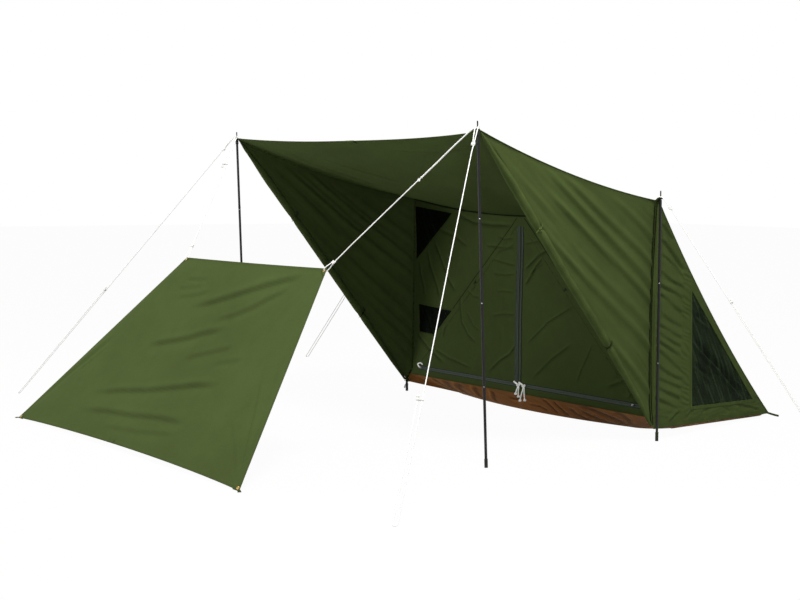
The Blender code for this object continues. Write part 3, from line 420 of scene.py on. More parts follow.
def add_piece(name, verts, faces, places, material, body="tent", slot="olive_cloth", sharp=None):
    """A piece in ridge coordinates that rides on a body; places, in metres, are given by point or by corner."""
    mesh = bpy.data.meshes.new(name)
    mesh.from_pydata([tuple(Vector(v) + SHIFT) for v in verts], [], faces)
    layer = mesh.uv_layers.new(name="place")
    by_point = len(places) == len(verts)
    for loop in mesh.loops:
        layer.uv[loop.index].vector = places[loop.vertex_index if by_point else loop.index]
    mesh.shade_smooth()
    if sharp:
        mesh.set_sharp_from_angle(angle=math.radians(sharp))
    piece = add_object(name, mesh, material)
    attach(piece, body)
    return piece


def coat(node, material):
    """Gives a solid of the CAD model its finish."""
    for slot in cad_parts[node].material_slots:
        slot.material = material


def grid_faces(across, down, closed=False):
    faces = []
    for j in range(down - 1):
        for i in range(across if closed else across - 1):
            a, b = j * across + i, j * across + (i + 1) % across
            faces.append((a, b, b + across, a + across))
    return faces


def end_faces(count, total):
    """The two caps of a shell of rings with count points each."""
    return [tuple(range(count - 1, -1, -1)), tuple(range(total - count, total))]


def closed_rings(verts, count):
    """A closed shell over rings of points, as (verts, faces, corners)."""
    faces = grid_faces(count, len(verts) // count, True) + end_faces(count, len(verts))
    return verts, faces, [(0.0, 0.0)] * sum(map(len, faces))


def tube_parts(points, radius, sides=10, turn_of=None, closed=False):
    """A round tube; radius is a number, a tuple with one for each point, or a function of (share, turn)."""
    points = [Vector(p) for p in points]
    count = len(points)
    verts, runs = [], [0.0]
    side = None
    for k, point in enumerate(points):
        if closed:
            ahead = (points[(k + 1) % count] - points[k - 1]).normalized()
        else:
            ahead = (points[min(k + 1, count - 1)] - points[max(k - 1, 0)]).normalized()
        if side is None:
            side = ahead.orthogonal().normalized() if turn_of is None else Vector(turn_of)
        side = (side - ahead * side.dot(ahead)).normalized()
        other = ahead.cross(side)
        if k:
            runs.append(runs[-1] + (point - points[k - 1]).length)
        reach = radius[k] if isinstance(radius, tuple) else radius
        for turn in turns_of(sides):
            if callable(radius):
                reach = radius(k / (count - 1), turn)
            verts.append(point + (side * math.cos(turn) + other * math.sin(turn)) * reach)
    faces, corners = [], []
    for k in range(count if closed else count - 1):
        low, high = k * sides, ((k + 1) % count) * sides
        near, far = runs[k], runs[k + 1] if k + 1 < count else runs[k] + 0.004
        for n in range(sides):
            m = (n + 1) % sides
            faces.append((low + n, low + m, high + m, high + n))
            corners += [(near, n / sides), (near, (n + 1) / sides), (far, (n + 1) / sides), (far, n / sides)]
    if not closed:
        faces += end_faces(sides, len(verts))
        corners += [(runs[0], 0.5)] * sides + [(runs[-1], 0.5)] * sides
    return verts, faces, corners


def merge_parts(parts):
    """Joins several (verts, faces, corners) into one."""
    verts, faces, corners = [], [], []
    for some, more, spots in parts:
        base = len(verts)
        verts += some
        faces += [tuple(i + base for i in face) for face in more]
        corners += spots
    return verts, faces, corners


def trimmed(verts, faces, places):
    """A mesh with only the points that its faces use."""
    used = sorted({i for face in faces for i in face})
    order = {old: new for new, old in enumerate(used)}
    return [verts[i] for i in used], [tuple(order[i] for i in face) for face in faces], [places[i] for i in used]


def add_tube(name, points, radius, material, slot="olive_cloth", sides=8, closed=False):
    return add_piece(name, *tube_parts(points, radius, sides, closed=closed), material, slot=slot)


def add_toggle(name, middle, axis, half, sizes):
    """A small rubber peg with rounded ends; sizes are its radii from an end to the middle."""
    steps = (-half, 0.0005 - half, 0.003 - half)
    peg = [middle + axis * t for t in (*steps, 0.0, *(-t for t in reversed(steps)))]
    add_tube(name, peg, (*sizes, *sizes[-2::-1]), black_rubber(), "rubber_foot", 12)


def block_parts(middle, along, across, size, bevel):
    """A block with its long edges cut off, from its middle, two directions and (length, width, height)."""
    up = along.cross(across)
    length, width, height = (0.5 * side for side in size)
    ring = []
    for a, b in ((1, 1), (-1, 1), (-1, -1), (1, -1)):
        corner = ((a * (width - bevel), b * height), (a * width, b * (height - bevel)))
        ring += corner if a * b < 0 else corner[::-1]
    verts = []
    for reach, shrink in ((-length, 0.8), (bevel - length, 1.0), (length - bevel, 1.0), (length, 0.8)):
        verts += [middle + along * reach + (across * x + up * y) * shrink for x, y in ring]
    return closed_rings(verts, 8)


def add_ribbon(name, middles, across, outs, width, thick, material, body="tent", slot="olive_cloth"):
    """A flat tape along points, from the direction across it and the direction that it faces."""
    across, outs = ([way] * len(middles) if isinstance(way, Vector) else way for way in (across, outs))
    verts, places, run = [], [], 0.0
    for k, (middle, side, out) in enumerate(zip(middles, across, outs)):
        if k:
            run += (middle - middles[k - 1]).length
        wide = width[k] if isinstance(width, list) else width
        side, lift = side * 0.5 * wide, out * 0.5 * thick
        verts += [middle - side - lift, middle + side - lift, middle + side + lift, middle - side + lift]
        places += [(run, 0.0), (run, wide), (run, wide), (run, 0.0)]
    faces = grid_faces(4, len(middles), True) + [(3, 2, 1, 0), tuple(range(len(verts) - 4, len(verts)))]
    return add_piece(name, verts, faces, places, material, body, slot, 30.0)


def point_tree(points):
    tree = kdtree.KDTree(len(points))
    for k, p in enumerate(points):
        tree.insert(p if len(p) == 3 else (*p, 0.0), k)
    tree.balance()
    return tree


def store(piece, name, numbers):
    """Stores a number at each point of a piece, which its finish reads."""
    layer = piece.data.attributes.new(name, "FLOAT", "POINT")
    layer.data.foreach_set("value", numbers)


def divided(loop, step, count_of):
    """Points along a closed outline's sides."""
    fine = []
    for a, b in zip(loop, loop[1:] + loop[:1]):
        a, b = Vector(a), Vector(b)
        count = max(1, count_of((b - a).length / step))
        fine += [a.lerp(b, k / count) for k in range(count)]
    return fine


def mark_edges(piece, loops):
    """Stores each point's distance from the sheet's cut edges."""
    samples = [p + SHIFT for loop in loops for p in divided(loop, EDGE_STEP, int)]
    tree = point_tree(samples)
    away = [tree.find(v.co)[2] if samples else 1.0 for v in piece.data.vertices]
    store(piece, "edge", away)
    return away


def thicken(piece, away, thickness=CLOTH, hem=HEM):
    """Gives a sheet its thickness, doubled in its turned hem."""
    group = piece.vertex_groups.new(name="hem")
    for k, reach in enumerate(away):
        group.add([k], 1.0 if reach < hem else 0.5, "REPLACE")
    solid = piece.modifiers.new("thickness", "SOLIDIFY")
    solid.thickness = 2.0 * thickness
    solid.offset = 0.0
    solid.use_rim = True
    solid.vertex_group = "hem"


def push_out(piece, moves):
    """Moves every point along its normal."""
    mesh = piece.data
    steps = [v.normal * move for v, move in zip(mesh.vertices, moves)]
    for v, step in zip(mesh.vertices, steps):
        v.co += step
    mesh.update()


def sheet_grid(name, point, across, down, material, spot, fold=None):
    """A sewn sheet over lines of u and v, with folds along its normal."""
    lines = [(u, v) for v in down for u in across]
    verts = [point(u, v) for u, v in lines]
    count = len(across)
    piece = add_piece(name, verts, grid_faces(count, len(down)), [spot(p) for p in verts], material)
    rim = verts[:count] + verts[2 * count - 1::count] + verts[-2:-count - 1:-1] + verts[-2 * count:0:-count]
    away = mark_edges(piece, [rim])
    if fold:
        push_out(piece, [fold(u, v) for u, v in lines])
    thicken(piece, away)
    return piece


def sheet_fan(name, point, along, over, material, spot, fold):
    """A sewn sheet that spreads from one corner, where along = 0, with its folds along X."""
    lines = [(0.0, 0.0)] + [(s, v) for s in along[1:] for v in over]
    verts = [point(s, v) for s, v in lines]
    count = len(over)
    faces = [(0, 1 + k, 2 + k) for k in range(count - 1)]
    faces += [(1 + a, 1 + d, 1 + c, 1 + b) for a, b, c, d in grid_faces(count, len(along) - 1)]
    piece = add_piece(name, verts, faces, [spot(p) for p in verts], material)
    rim = verts[:1] + verts[1::count] + verts[-count + 1:] + verts[:count:-count]
    away = mark_edges(piece, [rim])
    for vertex, (s, v) in zip(piece.data.vertices, lines):
        vertex.co.x += fold(s, v)
    thicken(piece, away)
    return piece


def inside(point, outline):
    x, y = point
    odd = False
    for (ax, ay), (bx, by) in zip(outline, outline[1:] + outline[:1]):
        if (ay > y) != (by > y) and x < (bx - ax) * (y - ay) / (by - ay) + ax:
            odd = not odd
    return odd


def crease_points(lines):
    """Points close enough beside creases to carry their shape."""
    spots = {}
    for points, width, _ in lines:
        for a, b in zip(points, points[1:]):
            a, b = Vector(a), Vector(b)
            across = (b - a).orthogonal().normalized() * width
            for t in shares(max(2, round((b - a).length / 0.011))):
                for step in (-2.0, -1.3, -0.8, -0.5, -0.25, 0.0, 0.25, 0.5, 0.8, 1.3, 2.0):
                    p = a.lerp(b, t) + across * step
                    spots.setdefault((round(p.x / (0.24 * width)), round(p.y / (0.24 * width))), p)
    return list(spots.values())


def cut_points(outline, holes, grain, lines=()):
    """Triangles over a flat outline with holes: points, faces and the divided edges."""
    def on_cloth(p):
        return inside(p, outline) and not any(inside(p, hole) for hole in holes)

    loops, points, edges = [], [], []
    for loop in (outline, *holes):
        start = len(points)
        fine = divided(loop, grain, round)
        points += fine
        edges += [(start + k, start + (k + 1) % len(fine)) for k in range(len(fine))]
        loops.append(fine)
    tree = point_tree(points)
    points += [p for p in crease_points(lines) if tree.find((*p, 0.0))[2] > 0.35 * grain and on_cloth(p)]
    tree = point_tree(points)
    low, high = (Vector((pick(p.x for p in points), pick(p.y for p in points))) for pick in (min, max))
    row = TRIANGLE * grain
    for j in range(1, int((high.y - low.y) / row) + 1):
        y = low.y + j * row
        x = low.x + (0.5 if j % 2 else 1.0) * grain
        while x < high.x:
            if tree.find((x, y, 0.0))[2] > 0.62 * grain and on_cloth((x, y)):
                points.append(Vector((x, y)))
            x += grain
    spots, _, found = geometry.delaunay_2d_cdt(points, edges, [], 0, 1e-7)[:3]
    faces = [tuple(face) for face in found
             if on_cloth(sum((spots[i] for i in face), Vector((0.0, 0.0))) / len(face))]
    return spots, faces, loops


def cut_sheet(name, outline, holes, place, material, fold, body="tent", slot="olive_cloth",
              grain=GRAIN, thickness=CLOTH, hem=HEM, lift=0.0, marked=None, lines=()):
    """A sheet cut from flat cloth, set on a frame's XY plane and pushed out by fold(a, b)."""
    out = (place.to_3x3() @ UP).normalized()

    def hung(a, b):
        return place @ Vector((a, b, 0.0)) + out * (fold(a, b) + lift)

    spots, faces, loops = cut_points([tuple(p) for p in outline], [[tuple(p) for p in hole] for hole in holes],
                                     grain, lines)
    piece = add_piece(name, [hung(a, b) for a, b in spots], faces, [tuple(s) for s in spots], material, body, slot)
    rims = [[hung(a, b) for a, b in loop] for loop in loops]
    away = mark_edges(piece, rims if marked is None else [rims[k] for k in marked])
    # painted shade and highlight along the creases, stored for the finish to darken and lighten the colour
    if lines:
        store(piece, "crease", [painted_crease_shade(a, b, lines) for a, b in spots])
    thicken(piece, away, thickness, hem)
    return piece


# Finishes

class Value:
    """A shader value; arithmetic on it adds Math nodes."""

    def __init__(self, paint, socket):
        self.paint = paint
        self.socket = socket

    def math(self, operation, *values):
        node = self.paint.node("ShaderNodeMath", {"operation": operation}, dict(enumerate((self, *values))))
        return Value(self.paint, node.outputs[0])

    def __add__(self, other):
        return self.math("ADD", other)

    __radd__ = __add__

    def __sub__(self, other):
        return self.math("SUBTRACT", other)

    def __rsub__(self, other):
        return self.math("MULTIPLY_ADD", -1.0, other)

    def __mul__(self, other):
        return self.math("MULTIPLY", other)

    __rmul__ = __mul__

    def __abs__(self):
        return self.math("ABSOLUTE")

    def __lt__(self, other):
        return self.math("LESS_THAN", other)

    def __gt__(self, other):
        return self.math("GREATER_THAN", other)

    def sine(self):
        return self.math("SINE")

    def wave(self, pitch):
        """A sine over places in metres."""
        return (self * (FULL_TURN / pitch)).sine()

    def most(self, other):
        return self.math("MAXIMUM", other)

    def least(self, other):
        return self.math("MINIMUM", other)

    def rise(self, low, high):
        """0 below low, 1 above high, and a straight line between."""
        node = self.paint.node("ShaderNodeMapRange", {"clamp": True}, {0: self, 1: low, 2: high})
        return Value(self.paint, node.outputs[0])


class Paint:
    """The nodes of one material or of the world."""

    def __init__(self, owner, output="ShaderNodeOutputMaterial"):
        self.owner = owner
        owner.use_nodes = True
        self.tree = owner.node_tree
        self.tree.nodes.clear()
        self.output = self.node(output)

    def node(self, kind, settings=None, inputs=None):
        node = self.tree.nodes.new(kind)
        for key, value in (settings or {}).items():
            if key == "stops":
                ramp = node.color_ramp
                while len(ramp.elements) < len(value):
                    ramp.elements.new(0.5)
                for element, (spot, colour) in zip(ramp.elements, value):
                    element.position = spot
                    element.color = (*colour, 1.0)
            else:
                setattr(node, key, value)
        for key, value in (inputs or {}).items():
            socket = node.inputs[key]
            if isinstance(value, Value):
                self.tree.links.new(value.socket, socket)
            elif isinstance(value, bpy.types.NodeSocket):
                self.tree.links.new(value, socket)
            else:
                socket.default_value = value
        return node

    def at(self):
        return self.node("ShaderNodeTexCoord").outputs["Object"]

    def parts_of(self, spot):
        return [Value(self, part) for part in self.node("ShaderNodeSeparateXYZ", None, {0: spot}).outputs]

    def place(self):
        """The surface's own places across and along, in metres."""
        return self.parts_of(self.node("ShaderNodeUVMap", {"uv_map": "place"}).outputs[0])[:2]

    def stored(self, name):
        """A number that the mesh stores at each point."""
        return Value(self, self.node("ShaderNodeAttribute", {"attribute_name": name}).outputs["Fac"])

    def noise(self, scale, detail=3.0, rough=0.55, spot=None):
        inputs = {"Vector": spot or self.at(), "Scale": scale, "Detail": detail, "Roughness": rough}
        return Value(self, self.node("ShaderNodeTexNoise", None, inputs).outputs["Fac"])

    def stretched(self, scale, detail=2.0):
        """Noise over places that are stretched by a vector."""
        spot = self.node("ShaderNodeVectorMath", {"operation": "MULTIPLY"}, {0: self.at(), 1: scale})
        return self.noise(1.0, detail, 0.5, spot.outputs[0])

    def mix(self, factor, a, b):
        a, b = ((*colour, 1.0) if isinstance(colour, tuple) else colour for colour in (a, b))
        return self.node("ShaderNodeMix", {"data_type": "RGBA"}, {0: factor, 6: a, 7: b}).outputs[2]

    def blend(self, factor, a, b):
        """One shader over another."""
        return self.node("ShaderNodeMixShader", None, {0: factor, 1: a, 2: b}).outputs[0]

    def shade(self, colour, roughness, height, **own):
        bump = self.node("ShaderNodeBump", None, {"Height": height, "Strength": 1.0, "Distance": 1.0})
        inputs = {"Base Color": colour, "Roughness": roughness, "Normal": bump.outputs[0]}
        inputs.update({key.replace("_", " "): value for key, value in own.items()})
        return self.node("ShaderNodeBsdfPrincipled", None, inputs).outputs[0]

    def end(self, shader):
        self.tree.links.new(shader, self.output.inputs[0])
        return self.owner


def toned(colour, factor):
    return tuple(min(1.0, c * factor) for c in colour)


def finish(name):
    """Turns a function from paint to shader into one that gives the named material, made once."""
    def wrap(shader_of):
        def find():
            made = bpy.data.materials.get(name)
            if made is None:
                paint = Paint(bpy.data.materials.new(name))
                made = paint.end(shader_of(paint))
            return made
        return find
    return wrap


def sewn(paint, base, grain, roughness, sheen, crumple, shine=0.05, depth=0.62):
    """Woven cloth with slubs, soft creases, and stitched, worn hems; the stored creases get painted shade in their
    bottoms and a painted highlight on their raised sides, as strong as depth.
    """
    u, v = paint.place()
    edge = paint.stored("edge")
    pitch = settings().cloth.weave
    weave = u.wave(pitch) * v.wave(pitch)
    slub = paint.stretched((900.0, 900.0, 22.0), 1.0) + paint.stretched((24.0, 24.0, 900.0), 1.0)
    broad = paint.noise(1.7, 4.0)
    patch = paint.noise(11.0, 5.0)
    soft = paint.noise(26.0, 3.0, 0.6)
    dash = (u + v * 0.83).wave(STITCH) > -0.35
    row = (abs(edge - 0.2 * HEM) < THREAD) + (abs(edge - 0.8 * HEM) < THREAD)
    thread = row * dash
    hem = edge < HEM
    wear = 1.0 - edge.rise(0.0, 0.004)
    tone = broad.rise(0.3, 0.7) * 0.55 + patch.rise(0.3, 0.7) * 0.30 + (slub - 1.0) * grain + 0.05
    colour = paint.mix(tone, toned(base, 0.86), toned(base, 1.13))
    # fold is the painted crease shade stored on the mesh: above 0 it darkens the colour as painted shade, below 0 it
    # lightens it as a painted highlight, scaled by depth
    fold = paint.stored("crease")
    for share, factor in ((hem * 0.35, 0.84), (wear * patch.rise(0.45, 0.75) * 0.45, 1.55), (thread * 0.6, 0.55),
                          (fold * depth, 0.30), (fold * -depth, 1.9)):
        colour = paint.mix(share, colour, toned(base, factor))
    height = weave * 0.00003 + (slub - 1.0) * 0.00010 + soft * crumple + thread * 0.0002
    dull = (patch * 0.16 + (roughness - 0.06) + hem * 0.03).least(1.0)
    return paint.shade(colour, dull, height, Sheen_Weight=sheen, Sheen_Roughness=0.5,
                       Sheen_Tint=(*toned(base, 6.0), 1.0), Specular_IOR_Level=shine)


@finish("olive cloth")
def olive_cloth(paint):
    return sewn(paint, tuple(settings().cloth.olive), 0.5, 0.84, 0.04, 0.0012)


# A copy of the olive cloth at 0.95 of its colour, a little bumpier and duller: the darker colour is painted shade for
# the pieces made of it.
@finish("olive cloth with painted shade")
def shaded_cloth(paint):
    return sewn(paint, toned(settings().cloth.olive, 0.95), 0.5, 0.86, 0.03, 0.0016)


@finish("brown coated cloth")
def brown_cloth(paint):
    # depth 0.95: stronger painted crease shade and highlight on the groundsheet
    return sewn(paint, tuple(settings().cloth.brown), 0.3, 0.62, 0.03, 0.0022, 0.03, 0.95)


def netted(paint, gain):
    """Fine netting between a closed rim and see-through holes, with painted sheen streaks along its slack folds."""
    u, v = paint.place()
    mesh = settings().cloth.mesh
    holes = u.wave(mesh) * v.wave(mesh)
    thread = (abs(holes) < 0.55).most(paint.stored("edge") < NET_RIM)
    slant = paint.node("ShaderNodeCombineXYZ", None, {0: u * 40.0 + v * 25.0, 1: v * 3.0})
    sheen_streaks = paint.noise(1.0, 3.0, 0.5, slant.outputs[0])
    base = toned(settings().cloth.netting, gain)
    # painted highlight: slanting streaks lighten the colour for the sheen along the slack folds
    colour = paint.mix(sheen_streaks.rise(0.48, 0.66) * 0.55, toned(base, 0.7), toned(base, 2.6))
    shader = paint.shade(colour, sheen_streaks * 0.2 + 0.55, abs(holes) * 0.0001, Specular_IOR_Level=0.05)
    clear = paint.node("ShaderNodeBsdfTransparent").outputs[0]
    return paint.blend(thread * 0.37 + 0.60, clear, shader)


@finish("dark netting")
def dark_netting(paint):
    return netted(paint, 1.0)


# painted light: the side windows' netting, its colour raised LIT_GAIN times for the light that falls through it
@finish("lit netting")
def lit_netting(paint):
    return netted(paint, LIT_GAIN)


@finish("olive webbing")
def webbing(paint):
    u, v = paint.place()
    base = toned(settings().cloth.olive, 0.62)
    rib = u.wave(0.0022)
    twill = (u + v * 2.0).wave(0.0030)
    patch = paint.noise(60.0, 4.0)
    colour = paint.mix(rib * 0.25 + patch * 0.5, toned(base, 0.75), toned(base, 1.35))
    return paint.shade(colour, patch * 0.2 + 0.72, rib * 0.00012 + twill * 0.00006, Specular_IOR_Level=0.15)


@finish("zip tape")
def zip_tape(paint):
    """Ribbed tape with painted shadow lines beside the teeth and along its sewn edge."""
    u, v = paint.place()
    base = tuple(settings().trim.tape)
    rib = u.wave(0.0016)
    patch = paint.noise(40.0, 4.0)
    colour = paint.mix(rib * 0.2 + patch * 0.6, toned(base, 0.8), toned(base, 1.3))
    # painted shadow: dark lines beside the teeth and along the sewn edge
    for dark in (v < 0.0042, (v > 0.0145) * (v < 0.0190)):
        colour = paint.mix(dark, colour, toned(base, 0.16))
    return paint.shade(colour, patch * 0.2 + 0.66, rib * 0.00008 + patch * 0.0002, Specular_IOR_Level=0.2)


@finish("zip coil")
def zip_coil(paint):
    patch = paint.noise(180.0, 3.0)
    base = toned(settings().trim.tape, 0.35)
    colour = paint.mix(patch, toned(base, 0.7), toned(base, 1.3))
    return paint.shade(colour, patch * 0.2 + 0.38, patch * 0.0001)


@finish("braided cord")
def braided_cord(paint):
    u, v = paint.place()
    base = tuple(settings().trim.cord)
    along, round_it = u * (FULL_TURN / BRAID_PITCH), v * (BRAID_STRANDS * FULL_TURN)
    braid = (along + round_it).sine().most((along - round_it).sine())
    soil = paint.noise(35.0, 4.0)
    colour = paint.mix(braid.rise(-0.2, 0.9), toned(base, 0.80), toned(base, 1.05))
    colour = paint.mix(soil.rise(0.5, 0.8) * 0.20, colour, toned(base, 0.80))
    # the emission makes the lines and zip pulls glow: painted light that keeps them white in shade
    return paint.shade(colour, soil * 0.15 + 0.68, braid * 0.0003, Sheen_Weight=0.1,
                       Emission_Color=colour, Emission_Strength=0.22)


@finish("white plastic")
def moulded_plastic(paint):
    cloud = paint.noise(70.0, 4.0)
    fine = paint.noise(900.0, 2.0)
    base = tuple(settings().trim.plastic)
    colour = paint.mix(cloud.rise(0.3, 0.7), toned(base, 0.88), toned(base, 1.05))
    return paint.shade(colour, cloud * 0.2 + 0.34, fine * 0.00004)


@finish("black steel")
def black_steel(paint):
    """Coated steel with faint lengthwise lines and scratches."""
    long = paint.stretched((220.0, 220.0, 3.0), 4.0)
    cloud = paint.noise(9.0, 4.0)
    fine = paint.noise(260.0, 3.0)
    scratch = paint.stretched((600.0, 600.0, 12.0), 2.0).rise(0.66, 0.72)
    base = tuple(settings().trim.steel)
    colour = paint.mix(cloud.rise(0.3, 0.7) * 0.6 + long * 0.3, toned(base, 0.7), toned(base, 1.35))
    colour = paint.mix(scratch * cloud.rise(0.4, 0.7) * 0.5, colour, toned(base, 4.0))
    return paint.shade(colour, long * 0.14 + cloud * 0.12 + 0.26, fine * 0.00003 + scratch * 0.00003, Metallic=0.15,
                       Coat_Weight=0.05, Coat_Roughness=0.30, Specular_IOR_Level=0.2)


@finish("worn steel")
def worn_steel(paint):
    cloud = paint.noise(160.0, 4.0)
    base = tuple(settings().trim.bare)
    colour = paint.mix(cloud.rise(0.3, 0.7), toned(base, 0.6), toned(base, 1.25))
    return paint.shade(colour, cloud * 0.25 + 0.28, cloud * 0.0001, Metallic=0.9)


# Binding at 0.17 of the olive colour: its dark colour is painted shade, for the shadow lines of the seams and the
# second ties where it is laid; its ribs and mottling are its own.
@finish("binding with painted shade")
def painted_shade_binding(paint):
    u, _ = paint.place()
    base = toned(settings().cloth.olive, 0.17)
    rib = u.wave(0.0060)
    patch = paint.noise(50.0, 4.0)
    colour = paint.mix(rib * 0.25 + patch * 0.6, toned(base, 0.6), toned(base, 1.5))
    return paint.shade(colour, patch * 0.2 + 0.75, rib * 0.0002, Specular_IOR_Level=0.06)


@finish("black rubber")
def black_rubber(paint):
    """Moulded rubber, dusty in its lowest few centimetres."""
    cloud = paint.noise(55.0, 4.0)
    fine = paint.noise(700.0, 2.0)
    low = 1.0 - paint.parts_of(paint.at())[2].rise(0.0, 0.03)
    base = tuple(settings().trim.rubber)
    colour = paint.mix(cloud, toned(base, 0.8), toned(base, 1.3))
    colour = paint.mix(low * cloud.rise(0.4, 0.7) * 0.5, colour, (0.10, 0.09, 0.075))
    return paint.shade(colour, cloud * 0.2 + 0.6, fine * 0.00008, Specular_IOR_Level=0.25)


@finish("brass")
def brass(paint):
    cloud = paint.noise(120.0, 4.0)
    fine = paint.stretched((900.0, 200.0, 200.0), 3.0)
    base = tuple(settings().trim.brass)
    colour = paint.mix(cloud.rise(0.35, 0.7), toned(base, 0.72), toned(base, 1.1))
    return paint.shade(colour, cloud * 0.2 + fine * 0.1 + 0.18, fine * 0.00004, Metallic=1.0)


# Shapes that pieces share

def ridge_height(x):
    return RIDGE_CLOTH - RIDGE_SAG * (1.0 - (x / WALL_HALF) ** 2)


def roof_half(v):
    return lerp(CANOPY_HALF + CORNER_LIP, WALL_HALF, v)


def roof_height(x, y):
    """Height of the canopy's middle surface without its folds."""
    front = CANOPY_REACH + CORNER_LIP
    v = 1.0 + y / front
    u = 0.5 + 0.5 * x / roof_half(v)
    height = lerp(CANOPY_HEIGHT, RIDGE_CLOTH, v) - SIDE_SAG * bow(v)
    return height - bow(u) * lerp(FRONT_SAG, RIDGE_SAG, v)


def rear_point(u, v):
    """The rear slope's middle surface, from the ridge v = 0 to its hem v = 1."""
    x = (2.0 * u - 1.0) * lerp(WALL_HALF, REAR_HALF, v)
    top = Vector((0.0, ridge_height((2.0 * u - 1.0) * WALL_HALF)))
    foot = Vector((BODY_DEPTH, REAR_HEM))
    run = foot - top
    out = Vector((-run.y, run.x)).normalized()
    place = top.lerp(foot, v) - out * REAR_SAG * bow(v)
    return Vector((-x, place.x + 2.5 * SEAM, place.y))


def wing_plane(y):
    return lerp(WALL_HALF, CANOPY_HALF, -y / CANOPY_REACH)


def wing_top(y):
    return roof_height(wing_plane(y), y) - 0.5 * CAD_CLOTH - 2.0 * SEAM


def wing_front(s):
    """Middle of the rolled front edge as (y, z), from the wing's point to its lower corner."""
    start = Vector((-CANOPY_REACH + WING_INSET, wing_top(-CANOPY_REACH + WING_INSET)))
    stop = Vector((-SEAM, WING_FOOT))
    run = stop - start
    inner = Vector((-run.y, run.x)).normalized()
    return start.lerp(stop, s) + inner * WING_CURVE * bow(s), inner


def roll_offset(s, inner):
    """From the middle of the roll to the wing's edge; it turns upright at the corner seam."""
    swell = smooth(s / (2.0 * ROLL_START)) * smooth((1.1 - s) / 0.12)
    reach = lerp(ROLL_END_RADIUS, ROLL_RADIUS, swell) + SEAM
    turn = smooth((s - 0.8) / 0.2)
    way = inner.lerp(Vector((0.0, 1.0)), turn)
    return way * reach * smooth(s / ROLL_START) / way.dot(inner)


def soft_radius(s):
    """Radius of the soft roll, drawn in at its ties."""
    swell = smooth((s - ROLL_START) / ROLL_SWELL[0]) * smooth((ROLL_STOP - s) / ROLL_SWELL[1])
    radius = lerp(ROLL_END_RADIUS, ROLL_RADIUS, swell)
    for tie in TIES:
        radius *= 1.0 - TIE_PINCH * math.exp(-((s - tie) / PINCH_LENGTH) ** 2)
    return radius * ROLL_LOOSE * lerp(1.0, 0.64, smooth((s - 0.66) / 0.24))


def tucked(point, side):
    """Moves a point of a wing in towards its seam on the front wall."""
    top, foot, swell, depth = SEAM_TUCK["right" if side > 0 else "left"]
    share = max(0.0, 1.0 + point.y / depth)
    level = point.z / RIDGE_CLOTH
    roll = lerp(WING_FOOT, CANOPY_HEIGHT, -point.y / CANOPY_REACH)
    tuck = (lerp(foot, top, level) + swell * bow(min(1.0, level))) * share * share * smooth((point.z - roll) / 0.14)
    x = abs(point.x) - tuck
    rise = roof_height(x, point.y) - roof_height(abs(point.x), point.y)
    high = smooth((point.z - wing_top(point.y) + 0.30) / 0.30)
    return Vector((math.copysign(x, point.x), point.y, point.z + rise * high))


def wing_point(s, v, side):
    """A wing's middle surface, spreading from its point s = 0 to the corner seam s = 1."""
    y0 = -CANOPY_REACH + WING_INSET
    point = Vector((y0, wing_top(y0)))
    y_top = lerp(y0, -SEAM, s)
    seam = Vector((-SEAM, lerp(wing_top(-SEAM), WING_FOOT, v)))
    upper = Vector((y_top, wing_top(y_top)))
    upper -= point.lerp(Vector((-SEAM, wing_top(-SEAM))), s)
    lower, inner = wing_front(s)
    lower += roll_offset(s, inner) * 0.6
    lower -= point.lerp(Vector((-SEAM, WING_FOOT)), s)
    place = point.lerp(seam, s) + upper * (1.0 - v) + lower * v
    return Vector((side * wing_plane(place.x), place.x, place.y))


def wall_half(y):
    return lerp(WALL_HALF, REAR_HALF, y / BODY_DEPTH)


def hem_height(y):
    return lerp(CORNER_HEM, REAR_HEM, y / BODY_DEPTH)


def front_frame():
    """The front wall's plane: X along the ridge, Y up, facing -Y."""
    return Matrix(((1, 0, 0), (0, 0, 1), (0, -1, 0))).transposed().to_4x4()


def side_frame(side):
    """A side wall's plane: X runs back from the corner seam, Y is up."""
    along = Vector((side * (REAR_HALF - WALL_HALF), BODY_DEPTH, 0.0)).normalized()
    out = along.cross(UP)
    place = Matrix((along, UP, out)).transposed().to_4x4()
    place.translation = (side * WALL_HALF, 0.0, 0.0)
    return place


def side_run(y):
    return y * math.hypot(WALL_HALF - REAR_HALF, BODY_DEPTH) / BODY_DEPTH


def front_window(shape):
    """A window's outline on the front wall, from its corners' drops below the ridge."""
    return [(x, RIDGE_CLOTH - drop) for x, drop in shape]


def inset(outline, gap):
    """Moves the sides of a convex outline inwards, or outwards with a negative gap."""
    middle = sum((Vector(p) for p in outline), Vector((0.0, 0.0))) / len(outline)
    lines = []
    for a, b in zip(outline, outline[1:] + outline[:1]):
        a, b = Vector(a), Vector(b)
        run = (b - a).normalized()
        normal = Vector((-run.y, run.x))
        if normal.dot(middle - a) < 0.0:
            normal = -normal
        lines.append((a + normal * gap, run))
    out = []
    for (p, r), (q, s) in zip(lines[-1:] + lines[:-1], lines):
        out.append(tuple(p + r * ((q - p).cross(s) / r.cross(s))))
    return out


def mirrored(outline, side):
    return [(side * x, z) for x, z in outline]


def canopy_pole_line(side):
    lean = (CANOPY_REACH - CANOPY_FOOT_REACH) / CANOPY_HEIGHT
    z = roof_height(CANOPY_HALF, -CANOPY_REACH) - 0.5 * CAD_CLOTH - (ROOF_SLOPE + lean) * POLE_RADIUS - 2.0 * TOUCH
    foot = Vector((side * CANOPY_FOOT_HALF, -CANOPY_FOOT_REACH, 0.0))
    return foot, Vector((side * CANOPY_HALF, -CANOPY_REACH, z))


